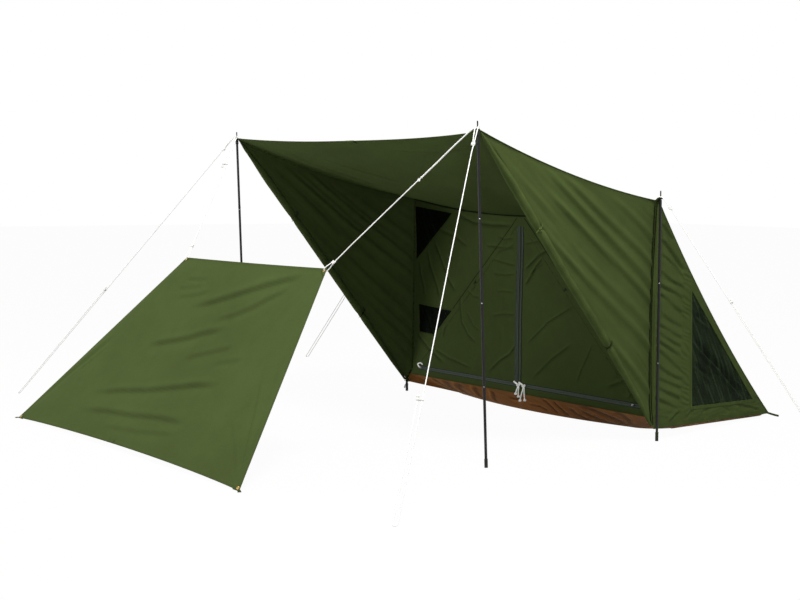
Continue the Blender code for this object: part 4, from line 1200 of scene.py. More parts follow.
def tab_height(x, y):
    """Middle of a ridge tab, which lies on the canopy cloth and reaches past its corner."""
    slope = 2.0 * RIDGE_SAG / WALL_HALF
    edge = roof_height(min(abs(x), WALL_HALF), min(y, 0.0))
    past = max(0.0, abs(x) - WALL_HALF)
    lift = TAB_LIFT * smooth((abs(x) - RIDGE_POLE_HALF) / TAB_REACH + 1.0)
    return edge + slope * past - ROOF_SLOPE * max(y, 0.0) + CAD_CLOTH + 3.0 * SEAM + lift


def tab_seat():
    reaches = (-POLE_RADIUS, 0.0, POLE_RADIUS)
    return min(tab_height(RIDGE_POLE_HALF + a, b) for a in reaches for b in reaches)


def ridge_pole_line(side):
    foot = Vector((side * RIDGE_FOOT_HALF, RIDGE_FOOT_BACK, 0.0))
    return foot, Vector((side * RIDGE_POLE_HALF, 0.0, tab_seat() - 0.5 * CAD_CLOTH - TAB_EASE))


def on_pole(line, height):
    foot, top = line
    return foot.lerp(top, height / top.z)


def panel_frame(u):
    corners = [Vector(c) for c in (PANEL_TOP_LEFT, PANEL_TOP_RIGHT, PANEL_FOOT_LEFT, PANEL_FOOT_RIGHT)]
    top_left, top_right, foot_left, foot_right = corners
    top = top_left.lerp(top_right, u)
    foot = foot_left.lerp(foot_right, u)
    down = (foot - top).normalized()
    top += down * PANEL_TOP_CURVE * bow(u)
    foot -= down * PANEL_FOOT_CURVE * bow(u) ** 0.7
    across = (foot_right - foot_left).normalized()
    return top, foot, down.cross(across).normalized()


def panel_point(u, v):
    """The panel's middle surface with its belly: u runs left to right, v from the top to the foot."""
    top, foot, normal = panel_frame(u)
    rest = smooth(FOLD_RISE * (bow(v) - PANEL_FLAT)) * smooth(FOLD_RISE * (bow(u) - PANEL_FLAT))
    return top.lerp(foot, v) - normal * rest * PANEL_BELLY * bow(u) * bow(v)


def panel_corners():
    """Each corner's name, its eyelet's middle and the panel's normal there."""
    out = []
    for name, u, v in (("top_left", 0, 0), ("top_right", 1, 0), ("foot_left", 0, 1), ("foot_right", 1, 1)):
        corner = panel_point(u, v)
        along = (panel_point(1 - u, v) - corner).normalized()
        down = (panel_point(u, 1 - v) - corner).normalized()
        half = 0.5 * along.angle(down)
        inwards = (along + down).normalized()
        normal = along.cross(down).normalized()
        if normal.y > 0.0:
            normal = -normal
        out.append((name, corner + inwards * EYELET_INSET / math.sin(half), normal))
    return out

# Guyline routes

def smooth_route(points, step_limit=0.03, parts=(4, 2)):
    """Reads points from a centripetal curve through a route, closer where its points are close."""
    ends = [points[0] * 2 - points[1], *points, points[-1] * 2 - points[-2]]
    out = []
    for a, b, c, d in zip(ends, ends[1:], ends[2:], ends[3:]):
        count = parts[0] if (c - b).length < step_limit else parts[1]
        t1 = (b - a).length ** 0.5
        t2 = t1 + (c - b).length ** 0.5
        t3 = t2 + (d - c).length ** 0.5
        for k in range(count):
            t = lerp(t1, t2, k / count)
            p1 = a.lerp(b, t / t1)
            p2 = b.lerp(c, (t - t1) / (t2 - t1))
            p3 = c.lerp(d, (t - t2) / (t3 - t2))
            q1 = p1.lerp(p2, t / t2)
            q2 = p2.lerp(p3, (t - t1) / (t3 - t1))
            out.append(q1.lerp(q2, (t - t1) / (t2 - t1)))
    out.append(points[-1])
    return out


def loop_points(middle, away, across, radius):
    """Half a turn about a middle, from +across round the far side to -across."""
    turns = [math.radians(a) for a in (90, 45, 0, -45, -90)]
    return [middle + across * radius * math.sin(t) - away * radius * math.cos(t) for t in turns]


def pin_strands(pin, lead, target):
    """The level loop round a pole pin: directions, the loop, and where its strands turn down."""
    level = Vector((target.x - pin.x, target.y - pin.y, 0.0)).normalized()
    across = level.cross(UP)
    loop = loop_points(pin, level, across, PIN_LOOP)
    loop.insert(0, pin + across * PIN_LOOP + level * lead * LEVEL_SHARE)
    loop.append(pin - across * PIN_LOOP + level * lead * LEVEL_SHARE)
    bend = pin + level * lead
    down = (target - bend).normalized()
    return across, loop, bend, down


def peg_line(pin, lead, peg, knot, runner, hand):
    """A guyline's route from its knotted loop on the pin to its runner and the loop at its peg."""
    target = Vector((*peg, LAY_HEIGHT))
    across, loop, bend, down = pin_strands(pin, lead, target)
    back = across * 2.0 * LOOP_RADIUS * hand
    tied = bend + down * knot
    slide = bend + down * runner
    apart = slide + down * (RUNNER_TRAVEL + STRAND_EASE)
    turn_middle = target + 0.5 * back - down * LOOP_RADIUS
    turn = loop_points(turn_middle, -down, across * hand, LOOP_RADIUS)
    turned_down = bend + down * LOOP_LEAD
    points = [tied + across * KNOT_HALF, turned_down + across * PIN_LOOP]
    points += loop
    points += [turned_down - across * PIN_LOOP, tied - across * KNOT_HALF]
    points += [tied + down * STRAND_EASE, slide - down * STRAND_EASE, slide, apart]
    points += [target - down * PEG_LEAD, *reversed(turn), target - down * PEG_LEAD + back]
    points += [apart + back, slide + back, slide - down * ROPE_END + back]
    return points, slide + 0.5 * back, down, across, tied


def panel_line(pin, lead, eyelet, normal, knot, runner):
    """A panel's line from its knotted loop through the eyelet to its runner and the loop on the pin."""
    across, loop, bend, down = pin_strands(pin, lead, eyelet)
    wide = across * LOOP_RADIUS
    through = eyelet - down * (EYELET_BORE - ROPE_RADIUS - 2.0 * ROPE_CLEAR)
    face = (normal - down * normal.dot(down)).normalized()
    turn = loop_points(through - down * LOOP_RADIUS, -down, face, LOOP_RADIUS)
    tied = eyelet - down * knot
    slide = bend + down * runner
    near = eyelet - down * EYELET_LEAD
    apart = slide - down * (PANEL_RUNNER_TRAVEL + 0.5 * STRAND_EASE)
    turned_down = bend + down * LOOP_LEAD
    points = [tied + face * KNOT_HALF, near + face * LOOP_RADIUS * NEAR_SHARE]
    points += turn
    points += [near - face * LOOP_RADIUS * NEAR_SHARE, tied - face * KNOT_HALF]
    points += [slide.lerp(tied, 0.5) - across * lerp(KNOT_HALF, LOOP_RADIUS, 0.5)]
    points += [slide + down * STRAND_EASE - wide, slide - wide, apart - wide]
    points += [turned_down - across * PIN_LOOP, *reversed(loop), turned_down + across * PIN_LOOP]
    points += [apart + wide, slide + wide, slide + down * ROPE_END + wide]
    return points, slide, down, across, tied


def lead_off_cloth(pin, target, lip, edges):
    """How far a line runs level from its pin before it can turn down past the cloth's edges."""
    level = Vector((target[0] - pin.x, target[1] - pin.y, 0.0)).normalized()
    runs = []
    for edge in edges:
        facing = level.dot(edge)
        if facing > FACING:
            runs.append((lip + PIN_LOOP * level.cross(edge).length) / facing)
    return min(runs) + ROPE_TURN


def guyline_routes():
    """Every line's route in ridge coordinates, by its name."""
    step = 2.0 * ROPE_RADIUS + 2.0 * ROPE_CLEAR
    corners = {name: (middle, normal) for name, middle, normal in panel_corners()}
    above = 0.5 * CAD_CLOTH + ROPE_RADIUS + ROPE_CLEAR + SEAT_EASE
    seat = roof_height(CANOPY_HALF, -CANOPY_REACH) + ROOF_SLOPE * CORNER_LIP + above
    ridge_lip = WALL_HALF + TAB_REACH - RIDGE_POLE_HALF
    ridge_seat = tab_height(WALL_HALF + TAB_REACH, 0.0) + above
    lines = {}
    for side, word in SIDES:
        out = Vector((side, 0.0, 0.0))
        pin = on_pole(canopy_pole_line(side), seat)
        middle, normal = corners[f"top_{word}"]
        lead = lead_off_cloth(pin, middle, CORNER_LIP, (OUT,))
        lines[f"panel_{word}"] = panel_line(pin, lead, middle, normal, PANEL_KNOTS[word], PANEL_RUNNERS[word])
        pin = on_pole(canopy_pole_line(side), seat + step)
        lead = lead_off_cloth(pin, PEGS[word], CORNER_LIP, (OUT, out))
        lines[f"front_{word}"] = peg_line(pin, lead, PEGS[word], CORNER_KNOT, FRONT_RUNNERS[word], side)
        pin = on_pole(ridge_pole_line(side), ridge_seat)
        lead = lead_off_cloth(pin, RIDGE_PEGS[word], ridge_lip, (out,))
        lines[f"ridge_{word}"] = peg_line(pin, lead, RIDGE_PEGS[word], RIDGE_KNOT, RIDGE_RUNNER, -side)
    return lines


def route_length(points):
    return sum((b - a).length for a, b in zip(points, points[1:]))


def wrap_knot(middle, along, across, turns):
    """A cord wound round two strands, as one tube's points."""
    other = along.cross(across)
    reach = KNOT_HALF + 2.0 * ROPE_RADIUS * KNOT_SHARE
    points = []
    for t in shares(14 * turns):
        turn = FULL_TURN * turns * t
        flat = 0.72 + 0.28 * abs(math.cos(turn))
        off = across * math.cos(turn) * reach + other * math.sin(turn) * reach * flat
        points.append(middle + along * (t - 0.5) * turns * 2.1 * ROPE_RADIUS + off)
    return points


def stopper_knot(middle, along, across, size):
    """A closed three-lobed knot round the end of a strand."""
    other = along.cross(across)
    points = []
    for t in turns_of(36):
        a = math.sin(t) + 2.0 * math.sin(2.0 * t)
        b = math.cos(t) - 2.0 * math.cos(2.0 * t)
        c = -math.sin(3.0 * t)
        points.append(middle + (across * a + other * b) * size / 3.0 + along * c * size * 0.55)
    return points


def runner_parts(middle, along, across):
    """A two-holed line runner with round ends, a waist and softened edges."""
    other = along.cross(across)
    count = 40
    verts = []
    for lift, shrink in ((-0.5, 0.0012), (-0.34, 0.0), (0.34, 0.0), (0.5, 0.0012)):
        for k in range(count):
            turn = FULL_TURN * (k + 0.5) / count
            x = (0.5 * RUNNER_WIDTH - shrink) * math.copysign(abs(math.cos(turn)) ** 0.72, math.cos(turn))
            y = (0.5 * RUNNER_DEPTH - shrink) * math.copysign(abs(math.sin(turn)) ** 0.62, math.sin(turn))
            y *= 1.0 - 0.16 * math.exp(-(x / 0.006) ** 2)
            verts.append(middle + across * x + other * y + along * lift * RUNNER_THICK)
    parts = [closed_rings(verts, count)]
    for hand in (-1, 1):
        for end in (-1, 1):
            bore = middle + across * hand * LOOP_RADIUS + along * end * (0.5 * RUNNER_THICK)
            ring = [bore + (across * math.cos(t) + other * math.sin(t)) * (RUNNER_BORE + 0.0006)
                    for t in turns_of(16)]
            parts.append(tube_parts(ring, 0.0009, 6, closed=True))
    return merge_parts(parts)


# Folds

def roof_fold(u, v):
    """Folds of the canopy: fans from its corners, soft bands and a dip beside the right pin."""
    x = (2.0 * u - 1.0) * roof_half(v)
    y = (v - 1.0) * (CANOPY_REACH + CORNER_LIP)
    calm = smooth(6.0 * min(u, 1.0 - u)) * smooth(5.0 * (1.0 - v))
    front = CANOPY_REACH + CORNER_LIP + y
    turn = math.atan2(front + 0.02, roof_half(v) - abs(x) + 0.02)
    reach = math.hypot(front, roof_half(v) - abs(x))
    fan = ripple(turn * 5.5, reach * 0.8, 3.1 if x > 0 else 7.7) * min(reach, 0.7) / 0.7 * smooth(abs(x) / 0.4)
    bands = ripple(x * 0.7 + 4.0, y * 5.0 + 0.6 * x, 1.3)
    small = ripple(x * 7.0, y * 9.0, 5.5)
    depth = 0.011 * fan + 0.006 * bands + 0.0015 * small
    return (depth + creases(x, y, ROOF_CREASES)) * calm * smooth(8.0 * v + 0.15)


def roof_dip(x, y):
    """The front edge runs low beside the right corner and rises only in its last few centimetres."""
    front = CANOPY_REACH + CORNER_LIP + y
    near = smooth((x + 0.1) / 1.25) * (1.0 - smooth((x - 1.222) / 0.045))
    return 0.017 * near * (1.0 - smooth(front / 0.40))


def rear_fold(u, v):
    """Folds of the rear slope: fans from its upper corners, long drops and a level crease or two."""
    x = (2.0 * u - 1.0) * lerp(WALL_HALF, REAR_HALF, v)
    calm = smooth(7.0 * min(u, 1.0 - u)) * smooth(8.0 * (1.0 - v)) * smooth(6.0 * v)
    turn = math.atan2(v + 0.02, min(u, 1.0 - u) * 1.8 + 0.02)
    fan = ripple(turn * 4.5, v * 1.2, 12.0 + math.copysign(1.0, x)) * smooth(abs(x) / 0.4)
    drop = ripple(x * 4.5, v * 1.1, 20.0) * smooth(2.0 * v)
    level = crease(x * 1.2, v * 7.0, 23.0) * (1.0 - smooth(2.0 * v))
    return (0.014 * fan + 0.009 * drop + 0.006 * level + 0.0014 * ripple(x * 9.0, v * 13.0, 2.0)) * calm


def wing_fold(s, v, word):
    """Folds that start along the top edge and the roll and run down to the corner seam."""
    point = wing_point(s, v, 1)
    t = -point.y
    seam = (point.z - 1.02 * t) / (1.0 - 0.3 * t)
    height = 0.0
    for middle, drift, start, stop, width, rise in WING_FOLDS[word]:
        d = (seam - middle - drift * t) / width
        if abs(d) < 3.0:
            reach = smooth((stop - t) / 0.22) * (1.0 if start == 0.0 else smooth((t - start) / 0.18))
            height += rise * math.exp(-d * d) * reach
    seed = 3.0 if word == "right" else 8.0
    height += 0.0060 * ripple(seam * 5.5, t * 1.2, seed) + 0.0034 * ripple(seam * 17.0, t * 2.0, seed + 1.0)
    near = math.exp(-(t / 0.16) ** 2)
    height += 0.0030 * near * ripple(seam * 32.0, t * 2.0, seed + 2.0)
    spread = smooth(2.4 * s) * smooth(26.0 * (1.0 - s))
    edges = smooth(12.0 * v) * smooth(9.0 * (1.0 - v))
    turns = 22.0 * seam + 1.2 * ripple(seam * 6.0, 0.0, seed)
    pucker = 0.0040 * ridged(turns) * math.exp(-(t / 0.030) ** 2) * smooth(50.0 * (1.0 - s))
    away = (1.0 - v) * 1.42 * s - 0.016
    loose = smooth((s - 0.30) / 0.02) * smooth((0.42 - s) / 0.05)
    loose += 0.6 * smooth((s - 0.70) / 0.02) * smooth((0.92 - s) / 0.08)
    loose += 0.6 * smooth((s - 0.05) / 0.03) * smooth((0.31 - s) / 0.02)
    tuck = -0.016 * (0.15 + loose) * math.exp(-(max(0.0, away) / 0.020) ** 2) * smooth(8.0 * s)
    return height * spread * edges + pucker * smooth(12.0 * bow(v)) + tuck


def wall_fold(x, z):
    """Slanting creases of the front wall and doors, dying out at the sill and the ridge."""
    out = abs(x)
    depth = creases(x, z, FRONT_CREASES)
    toward = math.atan2(z - ZIP_LOW + 0.03, out + 0.03)
    reach = math.hypot(z - ZIP_LOW, out)
    fan = ripple(toward * 6.0, reach * 1.5, 41.0) * min(1.0, 2.0 * reach)
    a, b = slanted(x, z, 40.0 if x > 0.0 else -35.0)
    fine = (crease(a * 7.0, b * 2.2, 31.0) - 0.4) * smooth(8.0 * out)
    level = ripple(x * 3.0, z * 24.0, 33.0) * math.exp(-(out / 0.16) ** 2)
    depth += 0.0090 * fan + 0.0020 * fine + 0.0016 * level + 0.0009 * ripple(x * 24.0, z * 19.0, 6.0)
    calm = smooth((z - SILL_HEM) / 0.05) * smooth((ridge_height(x) - z) / 0.07) * smooth((WALL_HALF - out) / 0.03)
    run = Vector((DOOR_HALF - ZIP_HALF, ZIP_LOW - ZIP_TOP)).normalized()
    hinge = abs(run.cross(Vector((out - ZIP_HALF, z - ZIP_TOP))))
    calm *= lerp(0.15, 1.0, smooth(hinge / 0.075))
    return depth * calm


def side_fold(a, b):
    """Waves from the pole to the window, folds along the slope and creases in the lower band."""
    front = 1.0 - smooth((a - 0.26) / 0.06)
    beside = smooth((a - 0.27) / 0.03) * (1.0 - smooth((a - 0.36) / 0.05))
    top = smooth((b - 1.0) / 0.14)
    turns = (b + 0.40 * a) / 0.072 + 0.9 * ripple(b * 6.0, a * 2.0, 51.0)
    strong = max(0.15, 1.0 + 1.5 * ripple(b * 9.0, a * 4.0, 53.0))
    waves = 0.0062 * (pleated(turns) - 0.5) * strong * front * smooth(a / 0.05 + 0.25)
    turns = (b + 0.45 * a) / 0.036 + 0.9 * ripple(b * 11.0, a * 3.0, 54.0)
    strong = max(0.0, 1.0 + 1.8 * ripple(b * 12.0, a * 6.0, 55.0))
    small = 0.0030 * (pleated(turns) - 0.5) * strong * beside
    seam = -0.0016 * math.exp(-((a - 0.295) / 0.006) ** 2) * smooth((b - 0.19) / 0.03)
    low = smooth((b - 0.17) / 0.03)
    e, f = slanted(a, b, -46.0)
    slope = 0.0030 * ripple(e * 8.0, f * 1.5, 57.0) * top
    depth = (waves + small) * low * (1.0 - top) + seam * low * (1.0 - top) + slope
    depth += creases(a, b, SIDE_CREASES) + 0.0008 * ripple(a * 25.0, b * 21.0, 8.0)
    depth += 0.0030 * (crease(a * 5.0, b * 18.0, 61.0) - 0.4) * (1.0 - low)
    return depth * smooth((b - hem_height(a)) / 0.02) * smooth(a / 0.012)


def net_fold(a, b):
    """Slack folds of the side netting, calm along its sewn edges."""
    depth = creases(a, b, NET_CREASES) + 0.003 * ripple(a * 3.0 + b * 4.0, (b - 0.7 * a) * 9.0, 66.0)
    return depth * smooth((a - 0.37) / 0.05) * smooth((b - 0.16) / 0.05)


def panel_fold(u, v):
    """Long folds that run down-left from the top right corner, and fans at the feet."""
    calm = smooth(9.0 * min(u, 1.0 - u) + 0.05) * smooth(12.0 * v + 0.05) * smooth(12.0 * (1.0 - v) + 0.02)
    feet = smooth(60.0 * min(u, 1.0 - u)) * smooth(30.0 * (1.0 - v)) * smooth(12.0 * v)
    depth = 1.15 * creases(u, v, PANEL_FOLDS[:11], (1.8, -1.15)) * calm
    depth += creases(u, v, PANEL_FOLDS[11:], (2.0, -1.3)) * feet
    away = Vector(((1.0 - u) * 1.9, v * 1.4))
    turn = math.atan2(away.y + 0.02, away.x + 0.02)
    fan = ripple(turn * 5.0, away.length * 0.8, 71.0) * min(1.0, away.length)
    level = ripple(u * 1.4, v * 7.0 + 0.8 * u, 73.0) * smooth(2.4 * (v - 0.2))
    small = ripple(u * 16.0, v * 11.0, 81.0)
    edge = 0.013 * (u / 0.05) * math.exp(1.0 - u / 0.05) * smooth(8.0 * v) * smooth(8.0 * (1.0 - v))
    return -depth - (0.007 * fan + 0.005 * level + 0.0009 * small) * calm - edge


# Settings

def tint(name, description, default):
    return FloatVectorProperty(name=name, description=description, subtype="COLOR", default=default, min=0.0, max=1.0)


def power(name, description, default):
    return FloatProperty(name=name, description=description, default=default, min=0.0)


def spacing(name, description, default, least):
    return FloatProperty(name=name, description=description, unit="LENGTH", default=default, min=least)


class TentCloth(bpy.types.PropertyGroup):
    olive: tint("Olive", "Colour of the tent cloth", (0.066, 0.093, 0.027))
    brown: tint("Brown", "Colour of the groundsheet", (0.345, 0.140, 0.042))
    netting: tint("Netting", "Colour of the window netting", (0.0040, 0.0064, 0.0030))
    weave: spacing("Weave", "Spacing of the cloth's threads", 0.0012, 0.0003)
    mesh: spacing("Mesh", "Spacing of the netting's holes", 0.0030, 0.001)


class TentTrim(bpy.types.PropertyGroup):
    tape: tint("Zip tape", "Colour of the zip tapes", (0.074, 0.096, 0.072))
    cord: tint("Cord", "Colour of the lines", (0.90, 0.90, 0.87))
    plastic: tint("Plastic", "Colour of the runners", (0.72, 0.72, 0.68))
    steel: tint("Pole steel", "Colour of the coated poles", (0.012, 0.012, 0.013))
    bare: tint("Bare steel", "Colour of worn steel", (0.42, 0.42, 0.41))
    brass: tint("Brass", "Colour of the eyelets", (0.66, 0.40, 0.13))
    rubber: tint("Rubber", "Colour of the pole feet", (0.014, 0.014, 0.013))
    knot_turns: IntProperty(name="Knot turns", description="Turns of cord in each knot", default=3, min=1, max=6)
    tooth: spacing("Zip pitch", "Spacing of the zip's teeth", 0.0045, 0.002)


class TentStage(bpy.types.PropertyGroup):
    floor: tint("Floor", "Colour of the floor", (0.40, 0.40, 0.39))
    key: power("Key lamp", "Power of the soft key lamp", 590.0)
    fill: power("Fill lamp", "Power of the fill lamp", 190.0)
    side: power("Side lamp", "Power of the lamp on the open side", 75.0)
    sky: power("Surround", "Strength of the even surrounding light", 0.26)
    lens: FloatProperty(name="Lens", description="Focal length on a 36 mm wide frame", subtype="DISTANCE_CAMERA",
                        default=62.650, min=1.0)


class TentSettings(bpy.types.PropertyGroup):
    cloth: PointerProperty(type=TentCloth, name="Cloth", description="Cloth and netting")
    trim: PointerProperty(type=TentTrim, name="Trim", description="Lines, zips, poles and eyelets")
    stage: PointerProperty(type=TentStage, name="Stage", description="Floor, lamps and camera")


# Operators

class TentStageOperator(bpy.types.Operator):
    """Place the camera, the pale floor and the soft lamps"""
    bl_idname = "tent.stage"
    bl_label = "Stage"

    def execute(self, context):
        scene = context.scene
        stage = settings().stage
        self.place_camera(scene, stage.lens)
        middle, cool = (0.0, -0.8, 0.8), (0.98, 0.99, 1.0)
        self.add_lamp(scene, "key", stage.key, 1.8, (3.7, -3.6, 7.2), (0.2, -0.9, 0.7), (1.0, 0.985, 0.96))
        self.add_lamp(scene, "fill", stage.fill, 2.2, (-4.4, -8.0, 2.4), middle, cool)
        self.add_lamp(scene, "side fill", stage.side, 2.0, (7.0, -7.0, 1.8), middle, cool)
        self.set_world(scene, stage.sky)
        self.lay_floor(tuple(stage.floor))
        scene.view_settings.view_transform = "Standard"
        return {"FINISHED"}

    def place_camera(self, scene, lens):
        yaw, pitch, roll = (math.radians(a) for a in CAMERA_TURNS)
        ahead = Vector((-math.sin(yaw) * math.cos(pitch), math.cos(yaw) * math.cos(pitch), -math.sin(pitch)))
        level = Vector((math.cos(yaw), math.sin(yaw), 0.0))
        over = level.cross(ahead)
        right = level * math.cos(roll) + over * math.sin(roll)
        up = over * math.cos(roll) - level * math.sin(roll)
        data = bpy.data.cameras.new("camera")
        data.lens = lens
        data.sensor_width = 36.0
        data.sensor_fit = "HORIZONTAL"
        data.clip_end = 200.0
        camera = bpy.data.objects.new("camera", data)
        place = Matrix((right, up, -ahead)).transposed().to_4x4()
        place.translation = CAMERA_PLACE
        camera.matrix_world = place
        scene.collection.objects.link(camera)
        scene.camera = camera

    def add_lamp(self, scene, name, power, size, spot, aim, colour):
        data = bpy.data.lights.new(name, "AREA")
        data.energy = power
        data.shape = "DISK"
        data.size = size
        data.color = colour
        lamp = bpy.data.objects.new(name, data)
        lamp.location = spot
        lamp.rotation_euler = (Vector(aim) - Vector(spot)).to_track_quat("-Z", "Y").to_euler()
        scene.collection.objects.link(lamp)

    def white_rays(self, paint):
        """The rays that see a white ground: the camera's own, and those that metal and plastic reflect or pass."""
        path = paint.node("ShaderNodeLightPath")
        camera, glossy, passed = (Value(paint, path.outputs[f"Is {kind} Ray"])
                                  for kind in ("Camera", "Glossy", "Transmission"))
        return camera.most(glossy).most(passed)

    def set_world(self, scene, strength):
        paint = Paint(bpy.data.worlds.new("surround"), "ShaderNodeOutputWorld")
        dim, white = (paint.node("ShaderNodeBackground", None, {"Color": (*colour, 1.0), "Strength": light})
                      for colour, light in (((0.93, 0.96, 1.0), strength), ((1.0, 1.0, 1.0), 1.0)))
        scene.world = paint.end(paint.blend(self.white_rays(paint), dim.outputs[0], white.outputs[0]))

    def lay_floor(self, tone):
        mesh = bpy.data.meshes.new("floor")
        corners = [(x * FLOOR_REACH, y * FLOOR_REACH, -FLOOR_DROP) for x, y in ((-1, -1), (1, -1), (1, 1), (-1, 1))]
        mesh.from_pydata(corners, [], [(0, 1, 2, 3)])
        paint = Paint(bpy.data.materials.new("pale floor"))
        cloud = paint.node("ShaderNodeTexNoise", None, {"Scale": 0.6}).outputs["Fac"]
        ramp = paint.node("ShaderNodeValToRGB", {"stops": ((0.0, toned(tone, 0.98)), (1.0, tone))}, {0: cloud})
        plain = paint.node("ShaderNodeBsdfDiffuse", None, {"Color": ramp.outputs[0]})
        white = paint.node("ShaderNodeEmission", None, {"Strength": 1.04})
        share = self.white_rays(paint) * WHITE_SHARE
        material = paint.end(paint.blend(share, plain.outputs[0], white.outputs[0]))
        add_object("floor", mesh, material)


class TentGuylines(bpy.types.Operator):
    """Run the six white lines with their knots and runners"""
    bl_idname = "tent.guylines"
    bl_label = "Guylines"

    def execute(self, context):
        cord, slot = braided_cord(), "guyline_cord"
        turns = settings().trim.knot_turns
        for name, (points, slide, down, across, tied) in guyline_routes().items():
            route = smooth_route(points)
            line = add_piece(f"line_{name}", *tube_parts(route, ROPE_RADIUS, 10), cord, slot=slot)
            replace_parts(line, f"guyline_{name}")
            winding = tube_parts(wrap_knot(tied, down, across, turns), KNOT_SHARE * ROPE_RADIUS, 8)
            knot = add_piece(f"knot_{name}", *winding, cord, slot=slot)
            last = (points[-1] - points[-2]).normalized()
            lobes = tube_parts(stopper_knot(points[-1], last, across, 0.0072), 0.0026, 8, closed=True)
            stopper = add_piece(f"stopper_{name}", *lobes, cord, slot=slot)
            runner = add_piece(f"slide_{name}", *runner_parts(slide, down, across), moulded_plastic(),
                               f"runner_{name}", "runner_plastic", 35.0)
            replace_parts(runner, f"runner_{name}")
            path = [tuple(p + SHIFT) for p in route]
            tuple(path[0])
            round(route_length(route), 2)
        return {"FINISHED"}


class TentPoles(bpy.types.Operator):
    """Coat the poles and feet, and add the worn collars and spring buttons at their joints"""
    bl_idname = "tent.poles"
    bl_label = "Poles"

    def execute(self, context):
        for side, word in SIDES:
            for kind, count, line in (("canopy", 4, canopy_pole_line(side)), ("ridge", 3, ridge_pole_line(side))):
                for k in range(count):
                    coat(f"{kind}_pole_{word}_section_{k + 1}", black_steel())
                coat(f"{kind}_pole_{word}_foot", black_rubber())
                self.add_joints(f"{kind}_{word}", line, count)
            self.add_foot_tie(side, word)
            # A black rubber sleeve at the top of each canopy pole, 20 mm wide and 29 mm long, whose black paints the
            # shade on the pole's top under the canopy's corner.
            line = canopy_pole_line(side)
            stop = [on_pole(line, line[1].z - drop) for drop in (0.0325, 0.0315, 0.0045, 0.0035)]
            add_tube(f"pole_top_shade_sleeve_{word}", stop, (0.0092, 0.0102, 0.0102, 0.0092), black_rubber(), "rubber_foot", 20)
        return {"FINISHED"}

    def add_foot_tie(self, side, word):
        """The small cord loop that ties the corner of the cloth to the ridge pole."""
        foot = on_pole(ridge_pole_line(side), 0.052)
        ring = [foot + Vector((math.cos(t), math.sin(t), 0.10 * math.cos(t))) * 0.0105
                for t in (FULL_TURN * k for k in shares(16))]
        loop = [foot + Vector((side * a, b, c)) / 1000 for a, b, c in
                ((8, -4, 0), (16, -8, -10), (20, -10, -24), (14, -10, -30), (10, -8, -18), (9, -4, 2), (4, -6, 24),
                 (-6, -8, 40))]
        parts = merge_parts([tube_parts(ring, 0.0020, 8, closed=True), tube_parts(smooth_route(loop), 0.0022, 8)])
        add_piece(f"foot_tie_{word}", *parts, webbing())

    def add_joints(self, word, line, count):
        foot, top = line
        axis = (top - foot).normalized()
        seat = foot + UP * CAP_RADIUS * math.sin(axis.angle(UP))
        start = CAP_FLOOR + TOUCH
        length = ((top - foot).length - start) / count
        toward = Vector((0.62, -0.78, 0.0))
        toward = (toward - axis * toward.dot(axis)).normalized()
        for k in range(1, count):
            middle = seat + axis * (start + k * length)
            bands = [tube_parts([middle + axis * (drop + step) for step in (-0.0022, -0.0016, 0.0016, 0.0022)],
                                (reach - 0.0002, reach, reach, reach - 0.0002), 20)
                     for drop, reach in ((-0.0032, 0.0089), (0.0026, 0.0087))]
            add_piece(f"collar_{word}_{k}", *merge_parts(bands), black_steel(), slot="black_steel", sharp=30.0)
            spot = middle - axis * 0.016 + toward * (POLE_RADIUS - 0.0008)
            dome = tube_parts([spot + toward * t for t in (0.0, 0.0012, 0.0020, 0.0024)],
                              (0.0034, 0.0033, 0.0024, 0.0008), 14)
            add_piece(f"button_{word}_{k}", *dome, worn_steel(), slot="black_steel", sharp=30.0)


